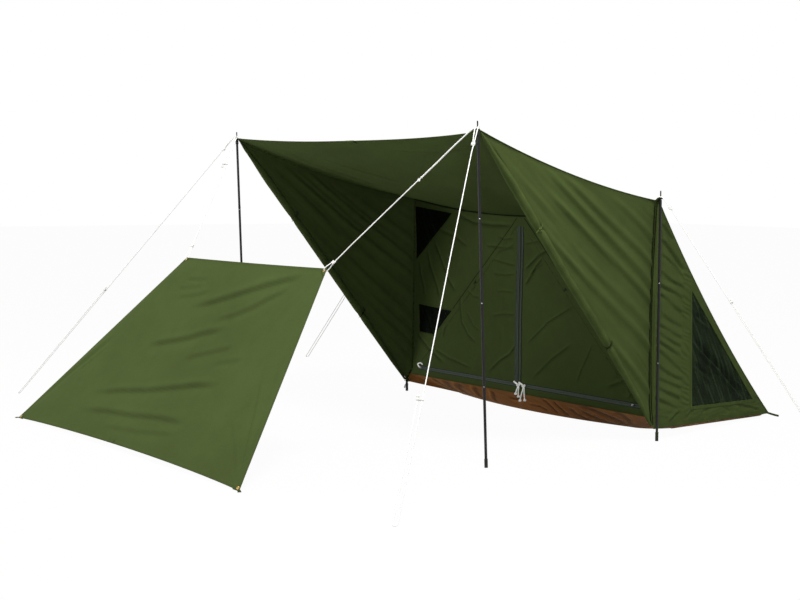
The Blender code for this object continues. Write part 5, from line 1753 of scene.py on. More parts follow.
class TentRoof(bpy.types.Operator):
    """Hang the canopy, the rear slope and the ridge tabs"""
    bl_idname = "tent.roof"
    bl_label = "Roof"

    def execute(self, context):
        front = CANOPY_REACH + CORNER_LIP

        def canopy(u, v):
            y = lerp(-front, -3.0 * SEAM, v)
            x = (2.0 * u - 1.0) * roof_half(1.0 + y / front)
            return Vector((x, y, roof_height(x, y) - roof_dip(x, y)))

        roof = sheet_grid("canopy", canopy, spaced(150, 2.58), spaced(90, 1.5), olive_cloth(),
                          lambda p: (p.x, p.y), roof_fold)
        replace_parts(roof, "canopy_roof")
        rear = sheet_grid("rear_slope", rear_point, spaced(130, 2.4), spaced(110, 2.0), olive_cloth(),
                          lambda p: (p.x, 0.7 * (p.y - p.z)), rear_fold)
        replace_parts(rear, "rear_roof")
        for side, word in SIDES:
            self.add_tab(side, word)
            self.add_patch(side, word)
        self.add_trim()
        return {"FINISHED"}

    def add_tab(self, side, word):
        def point(u, v):
            x = lerp(WALL_HALF - TAB_LENGTH, WALL_HALF + TAB_REACH, u)
            y = lerp(-TAB_FRONT, TAB_BACK, v)
            return Vector((side * x, y, tab_height(x, y)))
        tab = sheet_grid(f"ridge_tab_cloth_{word}", point, spaced(16, 0.112), spaced(8, 0.05), webbing(),
                         lambda p: (p.x, p.y))
        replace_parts(tab, f"ridge_tab_{word}")

    def add_patch(self, side, word):
        """A doubled corner of the canopy with the steel grommet that sits on the pole's pin."""
        def point(u, v):
            x = lerp(CANOPY_HALF + CORNER_LIP - 0.075, CANOPY_HALF + CORNER_LIP - 0.002, u)
            y = lerp(-CANOPY_REACH - CORNER_LIP + 0.002, -CANOPY_REACH + 0.072, v)
            return Vector((side * x, y, roof_height(x, y) - roof_dip(side * x, y) + 0.0021))
        verts = [point(u / 8, v / 8) for v in range(9) for u in range(9)]
        faces = [f if side > 0 else f[::-1] for f in grid_faces(9, 9) if f[0] // 9 - f[0] % 9 <= 1]
        patch = add_piece(f"corner_patch_{word}", *trimmed(verts, faces, [(p.x, p.y) for p in verts]), shaded_cloth())
        thicken(patch, mark_edges(patch, [[point(0, 0), point(1, 0), point(1, 1)]]), 0.0008)
        pin = on_pole(canopy_pole_line(side), roof_height(CANOPY_HALF, -CANOPY_REACH) + 0.0032)
        ring = [pin + Vector((math.cos(t), math.sin(t), -0.37 * math.sin(t))) * 0.0066 for t in turns_of(24)]
        add_tube(f"grommet_{word}", ring, 0.0014, worn_steel(), "black_steel", closed=True)

    def add_trim(self):
        """The ridge's corded seam, dark so that it paints the shadow line under the ridge, and the hanging loop on the
        canopy's front hem.
        """
        places = []
        for t in shares(60):
            x = lerp(-WALL_HALF + 0.012, WALL_HALF - 0.012, t)
            places.append(Vector((x, -0.0058, ridge_height(x) - 0.0075)))
        # the dark binding colour paints the shadow line under the ridge seam
        add_tube("ridge_cording", places, 0.0040, painted_shade_binding())
        hem = Vector((0.075, -CANOPY_REACH - CORNER_LIP, 0.0))
        hem.z = roof_height(hem.x, hem.y)
        loop = [hem + Vector((0.0, y, z)) for y, z in ((0.030, -0.006), (0.004, 0.0008), (-0.003, 0.001),
                                                       (-0.004, -0.005), (0.002, -0.0095), (0.030, -0.0160))]
        outs = [Vector((0.0, y, z)) for y, z in ((-0.2, 1), (-0.3, 1), (-1, 0.4), (-1, -0.4), (-0.3, -1), (-0.2, -1))]
        add_ribbon("front_hem_band", loop, LEVEL, outs, 0.085, 0.0012, olive_cloth())


class TentWings(bpy.types.Operator):
    """Hang the side wings with their rolled and tied front edges"""
    bl_idname = "tent.wings"
    bl_label = "Wings"

    def execute(self, context):
        along = [0.0] + [lerp(0.02, 1.0 - 0.02, t) for t in shares(100)] + [0.986, 0.991, 1.0]
        for side, word in SIDES:
            wing = sheet_fan(f"side_wing_{word}", lambda s, v, h=side: tucked(wing_point(s, v, h), h), along,
                             spaced(120, 1.4), olive_cloth(), lambda p: (p.y, p.z),
                             lambda s, v, w=word: wing_fold(s, v, w))
            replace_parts(wing, f"wing_{word}")
            self.add_roll(side, word)
            for number, share in enumerate(TIES, 1):
                self.add_tie(side, f"{word}_{number}", share, number == 1)
            if side > 0:
                self.bind_right()
            else:
                self.bind_left()
            top = []
            for t in shares(80):
                y = lerp(-CANOPY_REACH + WING_INSET, -0.004, t)
                edge = tucked(Vector((side * wing_plane(y), y, wing_top(y))), side)
                top.append(edge + Vector((side * 0.0006, 0.0, 0.0004)))
            add_tube(f"wing_piping_{word}", top, 0.0030, shaded_cloth())
        return {"FINISHED"}

    def roll_middle(self, s, side):
        middle, inner = wing_front(s)
        middle += inner * (1.0 - 1.0 / ROLL_LOOSE) * soft_radius(s)
        if side > 0:
            middle += inner * 0.012 * smooth((s - 0.40) / 0.25) * smooth((0.985 - s) / 0.10)
        return Vector((side * wing_plane(middle.x), middle.x, middle.y))

    def add_roll(self, side, word):
        """The rolled flap: a loose spiral with an outer edge, creased lengthwise and pinched at its ties."""
        first = -0.004

        def radius(share, turn):
            s = lerp(first, ROLL_STOP, share)
            step = (side * turn / FULL_TURN + 0.12 + 0.02 * math.sin(9.0 * share)) % 1.0
            lap = 0.90 + 0.14 * step
            lump = 0.06 * ripple(math.cos(turn) * 1.2 + share * 7.0, math.sin(turn) * 1.2, 91.0 + side)
            sag = 0.03 * ripple(share * 22.0, turn, 95.0)
            return soft_radius(s) * (lap + lump + sag) * lerp(0.35, 1.0, smooth(s / 0.040))

        places = [self.roll_middle(lerp(first, ROLL_STOP, t), side) for t in shares(190)]
        parts = tube_parts(places, radius, 44, turn_of=(side, 0.0, 0.0))
        roll = add_piece(f"rolled_edge_{word}", *parts, olive_cloth(), sharp=50.0)
        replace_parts(roll, f"rolled_flap_{word}")

    def add_tie(self, side, word, share, knotted):
        """A tape round the roll with its ends, and the toggle and loop that held it open."""
        middle = self.roll_middle(share, side)
        axis = (self.roll_middle(share + 0.01, side) - self.roll_middle(share - 0.01, side)).normalized()
        out = Vector((side, 0.0, 0.0))
        out = (out - axis * out.dot(axis)).normalized()
        other = axis.cross(out)
        reach = soft_radius(share) * 0.99 + 0.0010
        ring = [middle + (out * math.cos(t) + other * math.sin(t)) * reach + axis * 0.003 * math.sin(2.0 * t)
                for t in (FULL_TURN * k for k in shares(32))]
        spokes = [(p - middle).normalized() for p in ring]
        # the second tie takes the binding whose dark colour is painted shade
        tape = olive_cloth() if knotted else painted_shade_binding()
        add_ribbon(f"tie_{word}", ring, axis, spokes, 0.010 if knotted else 0.007, 0.0014, tape)
        wide = axis.cross(LEVEL).normalized()
        bend = ((-1.0, -0.018, 0.4), (-1.0, -0.008, 0.7), (-0.75, 0.0, 0.85), (0.0, 0.0, 1.05), (0.75, 0.0, 0.85),
                (1.0, 0.008, 0.7), (1.0, 0.016, 0.5))
        ends = [middle + wide * (a * reach + b) + LEVEL * c * (reach + 0.002) + axis * 0.25 * b for a, b, c in bend]
        add_tube(f"tie_ends_{word}", smooth_route(ends), 0.0026, tape)
        if knotted:
            knot = stopper_knot(middle + LEVEL * (reach + 0.006) + wide * 0.4 * reach, LEVEL, wide, 0.0105)
            add_tube(f"tie_knot_{word[:-2]}", knot, 0.0032, olive_cloth(), closed=True)
        foot = middle - other * side * (reach + 0.002)
        way = (-other * side * 0.8 - axis * 0.4 - out * 0.25).normalized()
        loop = [foot + way * a + axis * b for a, b in
                ((0.0, 0.0), (0.010, 0.004), (0.022, 0.003), (0.026, -0.002), (0.020, -0.006), (0.008, -0.004))]
        add_tube(f"tie_loop_{word}", smooth_route(loop), 0.0016, webbing())
        add_toggle(f"toggle_{word}", foot + way * 0.024, axis, 0.016, (0.0012, 0.0028, 0.0034, 0.0026))

    def bind_left(self):
        """The left wing's bound seam on the front wall, puckered by its stitches; the binding's dark colour is painted
        shade along the seam.
        """
        for number, (reach, back, wide) in enumerate(((0.0, 0.0040, 0.0165), (0.019, 0.0030, 0.0075)), 1):
            places = []
            for t in shares(160):
                z = lerp(WING_FOOT + 0.010, wing_top(-SEAM) - 0.020, t)
                pucker = 0.0036 * self.pucker(z, number)
                seam = tucked(Vector((-WALL_HALF, -SEAM, z)), -1)
                places.append(seam - Vector((reach + 0.004 + pucker, back, 0.0)))
            across, out = Vector((-0.75, -0.66, 0.0)), Vector((0.66, -0.75, 0.0))
            self.add_binding("left", number, places, across, out, wide, 0.45)

    def bind_right(self):
        """The right wing's two rows of binding on its outer face, behind the pole; their dark colour is painted shade,
        the seam's shade in the first row and the pole's shadow in the second.
        """
        for number, (y, wide) in enumerate(((-0.030, 0.0165 * 0.72), (-0.008, 0.0075 * 0.72)), 1):
            places = []
            for t in shares(160):
                z = lerp(WING_FOOT + 0.034, wing_top(-SEAM) - 0.020, t)
                seam = tucked(Vector((wing_plane(y), y, z)), 1)
                places.append(seam + Vector((0.0052, 0.0012 * self.pucker(z, number), 0.0)))
            self.add_binding("right", number, places, OUT, LEVEL, wide, 0.14)

    def pucker(self, z, number):
        return ridged(z / 0.034 + 0.8 * ripple(z * 7.0, 0.0, 5.0 + number))

    def add_binding(self, word, number, places, across, out, wide, uneven):
        wides = [wide * (0.75 + uneven * abs(ripple(p.z * 22.0, 0.0, 9.0 * number))) for p in places]
        add_ribbon(f"wing_binding_{word}_{number}", places, across, out, wides, 0.0022, painted_shade_binding())


class TentFront(bpy.types.Operator):
    """Cut and hang the front wall with its doors, netting and zips"""
    bl_idname = "tent.front"
    bl_label = "Front wall"

    def execute(self, context):
        end = WALL_HALF - 0.5 * CAD_CLOTH - SEAM
        outline = [(-end, SILL_HEM), (end, SILL_HEM)]
        outline += [(x, ridge_height(x) - 0.0042) for x in (lerp(end, -end, t) for t in shares(24))]
        holes = []
        for side in (-1, 1):
            holes.append(mirrored([(ZIP_HALF, ZIP_LOW), (DOOR_HALF, ZIP_LOW), (ZIP_HALF, ZIP_TOP)], side))
            holes += [mirrored(front_window(shape), side) for shape in (UPPER_WINDOW, LOWER_WINDOW)]
        wall = cut_sheet("front_cloth", outline, holes, front_frame(), shaded_cloth(), wall_fold, grain=FINE,
                         marked=(0, 2, 3, 5, 6), lines=FRONT_CREASES)
        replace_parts(wall, "front_wall")
        for side, word in SIDES:
            door = cut_sheet(f"door_cloth_{word}", mirrored(self.door_shape(), side), [], front_frame(), shaded_cloth(),
                             wall_fold, body=f"door_{word}", grain=FINE, marked=(), lines=FRONT_CREASES)
            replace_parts(door, f"door_{word}")
            for part, shape in (("upper", UPPER_WINDOW), ("lower", LOWER_WINDOW)):
                outline = mirrored(inset(front_window(shape), -NET_LAP), side)
                net = cut_sheet(f"{part}_net_{word}", outline, [], front_frame(), dark_netting(), wall_fold,
                                slot="dark_netting", thickness=0.5 * NET, hem=0.0, lift=-NET_BEHIND)
                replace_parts(net, f"{part}_window_net_{word}")
                area = 0.5 * abs(sum(a[0] * b[1] - b[0] * a[1] for a, b in zip(outline, outline[1:] + outline[:1])))
            self.add_zips(side, word)
            self.add_hinge_seam(side, word)
            self.add_door_tie(word, *((0.457, 0.912) if side > 0 else (-0.472, 0.905)))
        return {"FINISHED"}

    def door_shape(self):
        slope = (ZIP_TOP - ZIP_LOW) / (DOOR_HALF - ZIP_HALF)
        drop = DOOR_GAP * math.hypot(1.0, slope)
        inner = ZIP_HALF + ZIP_GAP
        low = ZIP_LOW + ZIP_GAP
        high = ZIP_TOP - slope * ZIP_GAP - drop - DOOR_TIP
        outer = DOOR_HALF - (ZIP_GAP + drop) / slope - DOOR_TIP
        sewn = [(outer, low + slope * DOOR_TIP), (inner + DOOR_TIP / slope, high)]
        return [(inner, low), (outer, low), *sewn, (inner, high)]

    def on_wall(self, x, z, lift):
        return Vector((x, -wall_fold(x, z) - lift, z))

    def add_zips(self, side, word):
        """Each zip: a tape and a row of teeth on the wall, and its other half on the door."""
        reach = ZIP_ENDS[word]
        upright = [(side * ZIP_HALF, lerp(ZIP_LOW + 0.004, ZIP_TOP - 0.002, t)) for t in shares(90)]
        level = [(side * lerp(0.002, reach, t), ZIP_LOW) for t in shares(90)]
        inner = [(x, z) for x, z in upright if z < ZIP_TOP - 0.030]
        lower = [(x, z) for x, z in level if ZIP_HALF < abs(x) < DOOR_HALF - 0.030]
        wide = UPRIGHT_TAPES[word]
        across = LEVEL * side
        for kind, part, spots, inward, hand, width in (
                ("upright", "wall", upright, across, -1, wide["wall"]),
                ("upright", "door", inner, across, 1, wide["door"]),
                ("level", "wall", level, UP, -1, TAPE), ("level", "door", lower, UP, 1, TAPE)):
            body = f"door_{word}" if part == "door" else "tent"
            self.add_tape(f"{kind}_tape_{part}_{word}", spots, inward * hand, width, body)
            self.add_teeth(f"{kind}_teeth_{part}_{word}", spots, inward, hand, body)
        rest = [(side * lerp(DOOR_HALF - 0.034, reach, t), ZIP_LOW) for t in shares(12)]
        self.add_tape(f"level_tape_end_{word}", rest, UP, TAPE, "tent")

    def add_tape(self, name, spots, away, wide, body):
        """A half of a zip's tape, from the teeth to its outer edge."""
        middles = [self.on_wall(x + away.x * 0.5 * wide, z + away.z * 0.5 * wide, 0.0024) for x, z in spots]
        add_ribbon(name, middles, -away, OUT, wide, 0.0010, zip_tape(), body, None)

    def add_teeth(self, name, spots, inward, hand, body):
        pitch = settings().trim.tooth
        start, stop = Vector(spots[0]), Vector(spots[-1])
        along = (stop - start).normalized()
        ahead = Vector((along.x, 0.0, along.y))
        teeth = []
        for k in range(int((stop - start).length / pitch)):
            x, z = start + along * ((k + (0.25 if hand > 0 else 0.75)) * pitch)
            middle = self.on_wall(x, z, 0.0040) + inward * hand * 0.0010
            teeth.append(block_parts(middle, inward, ahead, (0.0040, 0.45 * pitch, 0.0018), 0.0004))
        add_piece(name, *merge_parts(teeth), zip_coil(), body, None, 30.0)

    def add_hinge_seam(self, side, word):
        """The stitched line on the wall above a door's slanting sewn edge, whose dark binding colour paints the seam's
        shade.
        """
        top, foot = Vector((ZIP_HALF + 0.004, ZIP_TOP + 0.004)), Vector((DOOR_HALF + 0.004, ZIP_LOW + 0.006))
        run = (foot - top).normalized()
        across = Vector((-run.y, run.x))
        middles = []
        for t in shares(120):
            p = (top - run * 0.030).lerp(foot, t) + across * SEAM_AWAY
            if self.clear_of_windows(p.x, p.y):
                middles.append(self.on_wall(side * p.x, p.y, 0.0014))
            elif len(middles) > 20:
                break
        add_ribbon(f"hinge_band_{word}", middles, Vector((side * across.x, 0.0, across.y)), OUT, 0.0046, 0.0010,
                   painted_shade_binding())

    def clear_of_windows(self, x, z):
        return not any(inside((x, z), inset(front_window(shape), -0.012)) for shape in (UPPER_WINDOW, LOWER_WINDOW))

    def add_door_tie(self, word, x, z):
        """The toggle and loop that hold a rolled door, sewn at the middle of its slanting edge."""
        base = self.on_wall(x, z, 0.002)
        loop = [base + Vector(step) / 1000 for step in
                ((0, 0, 0), (4, -3, -6), (1, -5, -18), (-5, -4, -14), (-4, -1, -2))]
        add_tube(f"door_loop_{word}", smooth_route(loop), 0.0016, webbing())
        axis = Vector((0.86, 0.0, 0.5)).normalized()
        add_toggle(f"door_toggle_{word}", base + Vector((0.0, -0.0045, -0.016)), axis, 0.015,
                   (0.0012, 0.0030, 0.0040, 0.0032))


class TentSliders(bpy.types.Operator):
    """Fit the zip sliders with their white cord pulls"""
    bl_idname = "tent.sliders"
    bl_label = "Zip sliders"

    def execute(self, context):
        for side, word in SIDES:
            spot = Vector((side * ZIP_HALF, -ZIP_FACE, ZIP_LOW + SLIDER_LIFT))
            eye = self.add_slider(f"upright_slider_{word}", spot, UP)
            self.add_pull(f"upright_slider_{word}", eye, PULL_ENDS[word])
            spot = Vector((side * (DOOR_HALF - SLIDER_POINT), -ZIP_FACE, ZIP_LOW))
            eye = self.add_slider(f"level_slider_{word}", spot, LEVEL * -side)
            self.add_level_pull(f"level_slider_{word}", eye, side)
        return {"FINISHED"}

    def add_slider(self, name, middle, ahead):
        """A slider's plates and bridge; returns the place where its pull hangs."""
        across = ahead.cross(OUT)
        rows = ((-0.0085, 0.0036), (-0.0070, 0.0050), (0.0020, 0.0060), (0.0065, 0.0056), (0.0085, 0.0036))
        ring = [*rows, *((a, -w) for a, w in reversed(rows))]
        verts = []
        for lift, shrink in ((-0.0024, 0.86), (-0.0015, 1.0), (0.0015, 1.0), (0.0024, 0.80)):
            verts += [middle + ahead * a * shrink + across * w * shrink + OUT * lift for a, w in ring]
        arch = [middle + ahead * a + OUT * b for a, b in
                ((-0.0065, 0.0020), (-0.0050, 0.0046), (0.0010, 0.0056), (0.0055, 0.0044), (0.0070, 0.0020))]
        parts = merge_parts([closed_rings(verts, 10), tube_parts(smooth_route(arch), 0.0011, 8)])
        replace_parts(add_piece(f"{name}_body", *parts, worn_steel(), name, "slider_metal", 40.0), name)
        return middle + OUT * 0.0052

    def add_pull(self, name, eye, ends):
        """A cord through the slider's bridge, knotted beside it and at both of its ends."""
        left, right = (Vector((x, 0.0, -z)) for x, z in ends)
        knot = Vector((0.048, 0.0, -0.014))
        route = [left, knot.lerp(left, 0.6), knot - Vector((0.004, 0.0, 0.006)), Vector((-0.0030, 0.0, 0.002)),
                 Vector((0.0030, 0.0, 0.003)), knot + Vector((0.004, 0.0, -0.004)), knot.lerp(right, 0.6), right]
        line = smooth_route([eye + p + OUT * (0.005 if p.z < 0.0 else 0.001) for p in route], 0.1)
        parts = [tube_parts(line, PULL_RADIUS, 8)]
        for spot, size, radius in ((line[0], 0.0076, 0.0036), (line[-1], 0.0076, 0.0036),
                                   (eye + knot + OUT * 0.005, 0.0104, PULL_RADIUS)):
            parts.append(tube_parts(stopper_knot(spot, UP, LEVEL, size), radius, 8, closed=True))
        add_piece(f"{name}_pull", *merge_parts(parts), braided_cord(), name, "guyline_cord")

    def add_level_pull(self, name, eye, side):
        """The level slider's cord, pulled back along the zip: white on the left, a dark tab on the right."""
        if side < 0:
            route = ((0, 2), (-12, 10), (-24, 24), (-6, 34), (18, 36), (34, 27))
            line = smooth_route([eye + Vector((x, -3.0, z)) / 1000 for x, z in route], 0.1)
            add_piece(f"{name}_pull", *tube_parts(line, 0.0052, 8), braided_cord(), name, "guyline_cord")
        else:
            route = [eye + Vector((x, -1.0, -2.0)) / 1000 for x in (0, 4, 24, 28)]
            tab = tube_parts(route, (0.0010, 0.0022, 0.0030, 0.0012), 10)
            add_piece(f"{name}_pull", *tab, black_rubber(), name, "rubber_foot")


class TentSideWalls(bpy.types.Operator):
    """Cut and hang the side walls with their netting windows and corner straps"""
    bl_idname = "tent.side_walls"
    bl_label = "Side walls"

    def execute(self, context):
        outline = self.outline()
        window = [(side_run(y * BODY_DEPTH), z * RIDGE_CLOTH) for y, z in SIDE_WINDOW]
        for side, word in SIDES:
            place = side_frame(side)
            wall = cut_sheet(f"side_cloth_{word}", outline, [window], place, olive_cloth(),
                             lambda a, b, h=side: h * side_fold(a, b), grain=0.0085)
            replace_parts(wall, f"side_wall_{word}")
            net = cut_sheet(f"side_net_{word}", inset(window, -NET_LAP), [], place, lit_netting(),
                            lambda a, b, h=side: h * net_fold(a, b), slot="dark_netting",
                            thickness=0.5 * NET, hem=0.0, lift=-NET_BEHIND * side)
            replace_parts(net, f"side_window_net_{word}")
            self.add_frame(side, word, window, place)
            self.add_strap(side, word)
            slope = [place @ Vector((a, b + 0.0016, 0.0)) for a, b in outline[6:]]
            add_tube(f"slope_piping_{word}", slope, 0.0034, olive_cloth())
        return {"FINISHED"}

    def outline(self):
        slope = []
        for t in reversed(shares(18)):
            v = (1.0 - 4.0 * SEAM / BODY_DEPTH) * t
            here = rear_point(0.0, v)
            ahead = rear_point(0.0, min(1.0, v + 0.01)) - rear_point(0.0, max(0.0, v - 0.01))
            inner = Vector((ahead.z, -ahead.y)).normalized()
            edge = Vector((here.y, here.z)) + inner * (0.5 * CAD_CLOTH + 3.0 * SEAM)
            slope.append((side_run(max(edge.x, SEAM)), edge.y))
        hem = [(side_run(y), hem_height(y)) for y in (0.25, 0.5, 0.75, 1.0, 1.2)]
        return [(side_run(SEAM), hem_height(0.0))] + hem + slope

    def add_frame(self, side, word, window, place):
        """The doubled band round the netting and the hem's band."""
        turn = place.to_3x3()
        out = (turn @ UP).normalized() * side
        wide = 0.020
        ring = inset(window, -0.5 * wide)
        for number, (a, b) in enumerate(zip(ring, ring[1:] + ring[:1]), 1):
            a, b = Vector(a), Vector(b)
            run = (b - a).normalized()
            middles = []
            for t in shares(max(8, int((b - a).length / 0.012))):
                p = (a - run * 0.4 * wide).lerp(b + run * 0.4 * wide, t)
                lift = side_fold(p.x, p.y) + 0.0022 + 0.0003 * number
                middles.append(place @ Vector((p.x, p.y, 0.0)) + out * lift)
            across = (turn @ Vector((-run.y, run.x, 0.0))).normalized()
            add_ribbon(f"window_band_{word}_{number}", middles, across, out, wide, 0.0011, olive_cloth())
        hem = []
        for t in shares(90):
            a = lerp(0.012, side_run(BODY_DEPTH) - 0.03, t)
            b = hem_height(a) + 0.014 + 0.0012 * ripple(a * 9.0, 0.0, 3.0)
            hem.append(place @ Vector((a, b, 0.0)) + out * (side_fold(a, b) + 0.0018))
        add_ribbon(f"side_hem_band_{word}", hem, UP, out, 0.024, 0.0012, shaded_cloth())

    def add_strap(self, side, word):
        """The webbing strap that pulls the rear corner to its peg."""
        start = Vector((side * (REAR_HALF - 0.012), BODY_DEPTH - 0.022, REAR_HEM + 0.010))
        stop = Vector((side * (REAR_HALF + 0.052), BODY_DEPTH + 0.045, 0.006))
        run = (stop - start).normalized()
        across = (UP - run * run.dot(UP)).normalized()
        middles = [start.lerp(stop, t) - UP * 0.002 * bow(t) for t in shares(10)]
        add_ribbon(f"corner_strap_{word}", middles, across, run.cross(across), 0.014, 0.0022, webbing())


class TentFloor(bpy.types.Operator):
    """Lay the brown tub floor with its creased walls"""
    bl_idname = "tent.floor"
    bl_label = "Groundsheet"

    def execute(self, context):
        rim, floor = self.outlines()
        rows, count = 32, len(rim)
        squeeze = (1.0, 0.2)
        verts, places, shades = [], [], []
        for t in shares(rows):
            run = 0.0
            for k, (low, high) in enumerate(zip(floor, rim)):
                if k:
                    run += (high - rim[k - 1]).length
                way = Vector((high.x - low.x, high.y - low.y, 0.0)).normalized()
                front = smooth((0.10 - high.y) / 0.09)
                depth = self.wall_crease(run, t) * smooth(5.0 * t) * smooth(5.0 * (1.0 - t)) * lerp(1.0, 0.4, front)
                calm = front * smooth(9.0 * t) * smooth(9.0 * (1.0 - t))
                depth += creases(high.x, t, SILL_CREASES, squeeze) * calm
                # painted shade and highlight of the sill's creases, strongest at the front
                shades.append(painted_crease_shade(high.x, t, SILL_CREASES, squeeze) * front)
                point = low.lerp(high, t) + way * depth
                point.z = max(FLOOR_LIFT, point.z)
                verts.append(point)
                places.append((run, t * 0.2))
        faces = grid_faces(count, rows + 1, True)
        rim_line = verts[-count:]
        starts = [0]
        for ring in self.floor_rings(floor):
            starts.append(len(verts))
            verts += ring
            places += [(p.x, p.y) for p in ring]
        for outer, inner in zip(starts, starts[1:]):
            faces += [(outer + (k + 1) % count, outer + k, inner + k, inner + (k + 1) % count) for k in range(count)]
        last = starts[-1]
        verts.append(FLOOR_MIDDLE + UP * 0.0035)
        places.append((0.0, FLOOR_MIDDLE.y))
        faces += [(last + (k + 1) % count, last + k, len(verts) - 1) for k in range(count)]
        sheet = add_piece("tub_floor", verts, faces, places, brown_cloth(), slot="brown_cloth")
        away = mark_edges(sheet, [rim_line])
        # the sill's painted crease shade, 0 on the floor rings and the middle
        store(sheet, "crease", shades + [0.0] * (len(verts) - len(shades)))
        thicken(sheet, away, 0.0010)
        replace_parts(sheet, "groundsheet")
        return {"FINISHED"}

    def wall_crease(self, run, t):
        a, b = slanted(run, t * 0.22, 62.0)
        sharp = crease(a * 13.0, b * 2.2, 101.0) - 0.35
        c, d = slanted(run, t * 0.22, 50.0)
        cross = crease(c * 24.0, d * 3.0, 107.0) - 0.35
        return 0.0110 * sharp + 0.0040 * cross + 0.005 * ripple(run * 7.0, t * 2.0, 103.0)

    def outlines(self):
        """The rim under the hems and the line where the walls meet the ground, in matching points."""
        gap = 0.5 * CAD_CLOTH + SEAM
        wide, deep = FLOOR_CORNER
        corner = Vector((FLOOR_HALF - wide, FLOOR_FRONT + deep, FLOOR_LIFT))
        rim, floor = [], []
        for x in shares(230):
            rim.append(Vector((x * (WALL_HALF - 2.0 * gap), gap + 0.001, SILL_HEM - 0.001)))
            floor.append(Vector((x * corner.x, FLOOR_FRONT - FLOOR_BULGE * (1.0 - x * x), FLOOR_LIFT)))
        turns = ((0.0, 0.0), *FLOOR_TURNS)
        for (y0, a0), (y1, a1) in zip(turns, turns[1:]):
            for t in shares(6)[1:]:
                bend = math.radians(lerp(a0, a1, t))
                rim.append(self.side_rim(lerp(y0, y1, t), gap))
                floor.append(corner + Vector((wide * math.sin(bend), -deep * math.cos(bend), 0.0)))
        stops = (FLOOR_TURNS[-1][0], *FLOOR_STATIONS, FLOOR_BACK)
        for y0, y1 in zip(stops, stops[1:]):
            for t in shares(8)[1:]:
                rim.append(self.side_rim(lerp(y0, y1, t), gap))
                floor.append(Vector((FLOOR_HALF, lerp(y0, y1, t), FLOOR_LIFT)))
        for k in range(1, 41):
            x = 1.0 - k / 40
            rim.append(Vector((x * (wall_half(FLOOR_BACK) - 3.0 * gap), FLOOR_BACK + 0.046 * smooth(k / 6), 0.026)))
            floor.append(Vector((x * FLOOR_HALF, FLOOR_BACK, FLOOR_LIFT)))
        for line in (rim, floor):
            line += [Vector((-p.x, p.y, p.z)) for p in reversed(line[1:-1])]
        return rim, floor

    def side_rim(self, y, gap):
        """A point of the rim under the side wall's hem, which meets the sill's hem at the corner."""
        z = hem_height(y) + 0.003
        if y < 0.015:
            z = lerp(SILL_HEM - 0.001, z, smooth(y / 0.015))
        return Vector((wall_half(y) - 3.0 * gap, max(y, gap), z))

    def floor_rings(self, floor):
        rings = []
        for share in (0.97, 0.90, 0.80, 0.66, 0.50, 0.34, 0.18, 0.08):
            ring = [FLOOR_MIDDLE.lerp(p, share) for p in floor]
            for q in ring:
                q.z = 0.0034 + 0.0012 * ripple(q.x * 5.0, q.y * 5.0, 111.0) * smooth(6.0 * (1.0 - share))
            rings.append(ring)
        return rings


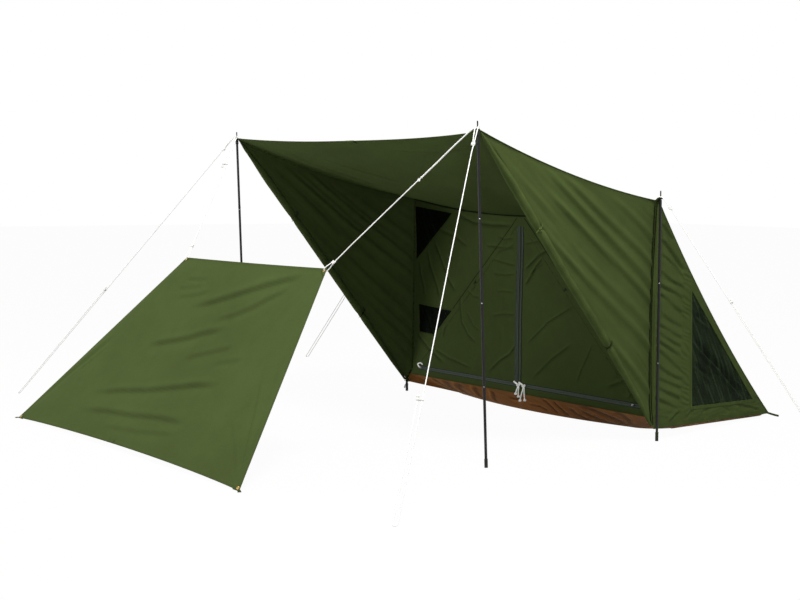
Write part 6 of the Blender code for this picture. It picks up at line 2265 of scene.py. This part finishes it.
class TentPanel(bpy.types.Operator):
    """Stretch the awning panel on its four brass eyelets"""
    bl_idname = "tent.panel"
    bl_label = "Awning panel"

    def execute(self, context):
        panel = sheet_grid("awning_cloth", panel_point, spaced(150, 2.2), spaced(90, 1.4),
                           olive_cloth(), lambda p: (p.x, 1.25 * p.z), panel_fold)
        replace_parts(panel, "awning_panel")
        for name, middle, normal in panel_corners():
            coat(f"panel_eyelet_{name}", brass())
            self.add_corner(name, middle, normal)
        for name, u in (("foot_left", 0.0), ("foot_right", 1.0)):
            self.add_foot_tab(name, u)
        self.add_hem_loop()
        return {"FINISHED"}

    def add_corner(self, name, middle, normal):
        """A stitched corner patch round the eyelet, on both faces."""
        u, v = (0.0 if "left" in name else 1.0), (0.0 if "top" in name else 1.0)
        corner = panel_point(u, v)
        along = (panel_point(1.0 - u, v) - corner).normalized()
        down = (panel_point(u, 1.0 - v) - corner).normalized()
        size, steps = 0.062, 8
        spots = [(i / steps, j / steps) for j in range(steps + 1) for i in range(steps + 1 - j)]
        order = {spot: k for k, spot in enumerate(spots)}
        rim = [corner, corner + along * size, corner + down * size]
        for hand, word in ((1, "out"), (-1, "in")):
            verts = [corner + (along * a + down * b) * size + (along + down) * 0.0012 + normal * hand * 0.0019
                     for a, b in spots]
            faces = []
            for j in range(steps):
                for i in range(steps - j):
                    a, b, c, d = (order.get(((i + x) / steps, (j + y) / steps))
                                  for x, y in ((0, 0), (1, 0), (0, 1), (1, 1)))
                    faces.append((a, b, c))
                    if i + 1 < steps - j:
                        faces.append((b, d, c))
            faces = [f for f in faces if (sum((verts[i] for i in f), Vector()) / 3.0 - middle).length > EYELET_CLEAR]
            parts = trimmed(verts, faces, [(a * size, b * size) for a, b in spots])
            patch = add_piece(f"panel_patch_{name}_{word}", *parts, olive_cloth())
            thicken(patch, mark_edges(patch, [rim]), 0.0004)

    def add_foot_tab(self, name, u):
        """The webbing loop that pegs a foot corner."""
        corner = panel_point(u, 1.0)
        way = corner - panel_point(1.0 - u, 0.0)
        way = Vector((way.x, way.y, 0.0)).normalized()
        across = way.cross(UP).normalized()
        places = [corner + way * (a - 0.018) + UP * (b + 0.0040) for a, b in
                  ((0.0, 0.0), (0.012, 0.001), (0.030, -0.0002), (0.040, -0.0006), (0.043, -0.0022), (0.040, -0.0036),
                   (0.026, -0.0038))]
        ways = [b - a for a, b in zip(places, places[1:])]
        outs = [-across.cross(w).normalized() for w in (*ways, ways[-1])]
        add_ribbon(f"peg_tab_{name}", places, across, outs, 0.018, 0.0014, webbing())

    def add_hem_loop(self):
        """A small stitched loop of cloth on the foot hem."""
        verts, places = [], []
        for b in shares(6):
            for a in shares(8):
                u = 0.463 + lerp(-0.014, 0.014, a)
                p = panel_point(u, lerp(0.978, 0.9985, b))
                normal = panel_frame(u)[2]
                verts.append(p + normal * (-0.0030 if normal.y > 0.0 else 0.0030))
                places.append((p.x, p.z))
        patch = add_piece("foot_hem_loop", verts, grid_faces(9, 7), places, olive_cloth())
        thicken(patch, mark_edges(patch, [[verts[0], verts[8], verts[-1], verts[-9]]]), 0.0007)


class TentPanelView(bpy.types.Panel):
    """Lists the tent's settings and the steps that make it"""
    bl_idname = "VIEW3D_PT_tent"
    bl_label = "Pup tent"
    bl_space_type = "VIEW_3D"
    bl_region_type = "UI"
    bl_category = "Tent"

    def draw(self, context):
        for group in (settings().cloth, settings().trim, settings().stage):
            box = self.layout.box()
            for name in group.bl_rna.properties.keys():
                if name not in ("rna_type", "name"):
                    box.prop(group, name)
        for step in OPERATORS:
            self.layout.operator(step.bl_idname, text=step.bl_label)


GROUPS = (TentCloth, TentTrim, TentStage, TentSettings)
OPERATORS = (TentStageOperator, TentGuylines, TentPoles, TentRoof, TentWings, TentFront, TentSliders,
             TentSideWalls, TentFloor, TentPanel)


def register():
    for item in (*GROUPS, *OPERATORS, TentPanelView):
        bpy.utils.register_class(item)
    bpy.types.Scene.tent = PointerProperty(type=TentSettings, name="Tent", description="Settings of the tent")


def unregister():
    del bpy.types.Scene.tent
    for item in reversed((*GROUPS, *OPERATORS, TentPanelView)):
        bpy.utils.unregister_class(item)


def main():
    register()
    for step in OPERATORS:
        group, name = step.bl_idname.split(".")
        getattr(getattr(bpy.ops, group), name)()


if __name__ == "__main__":
    main()
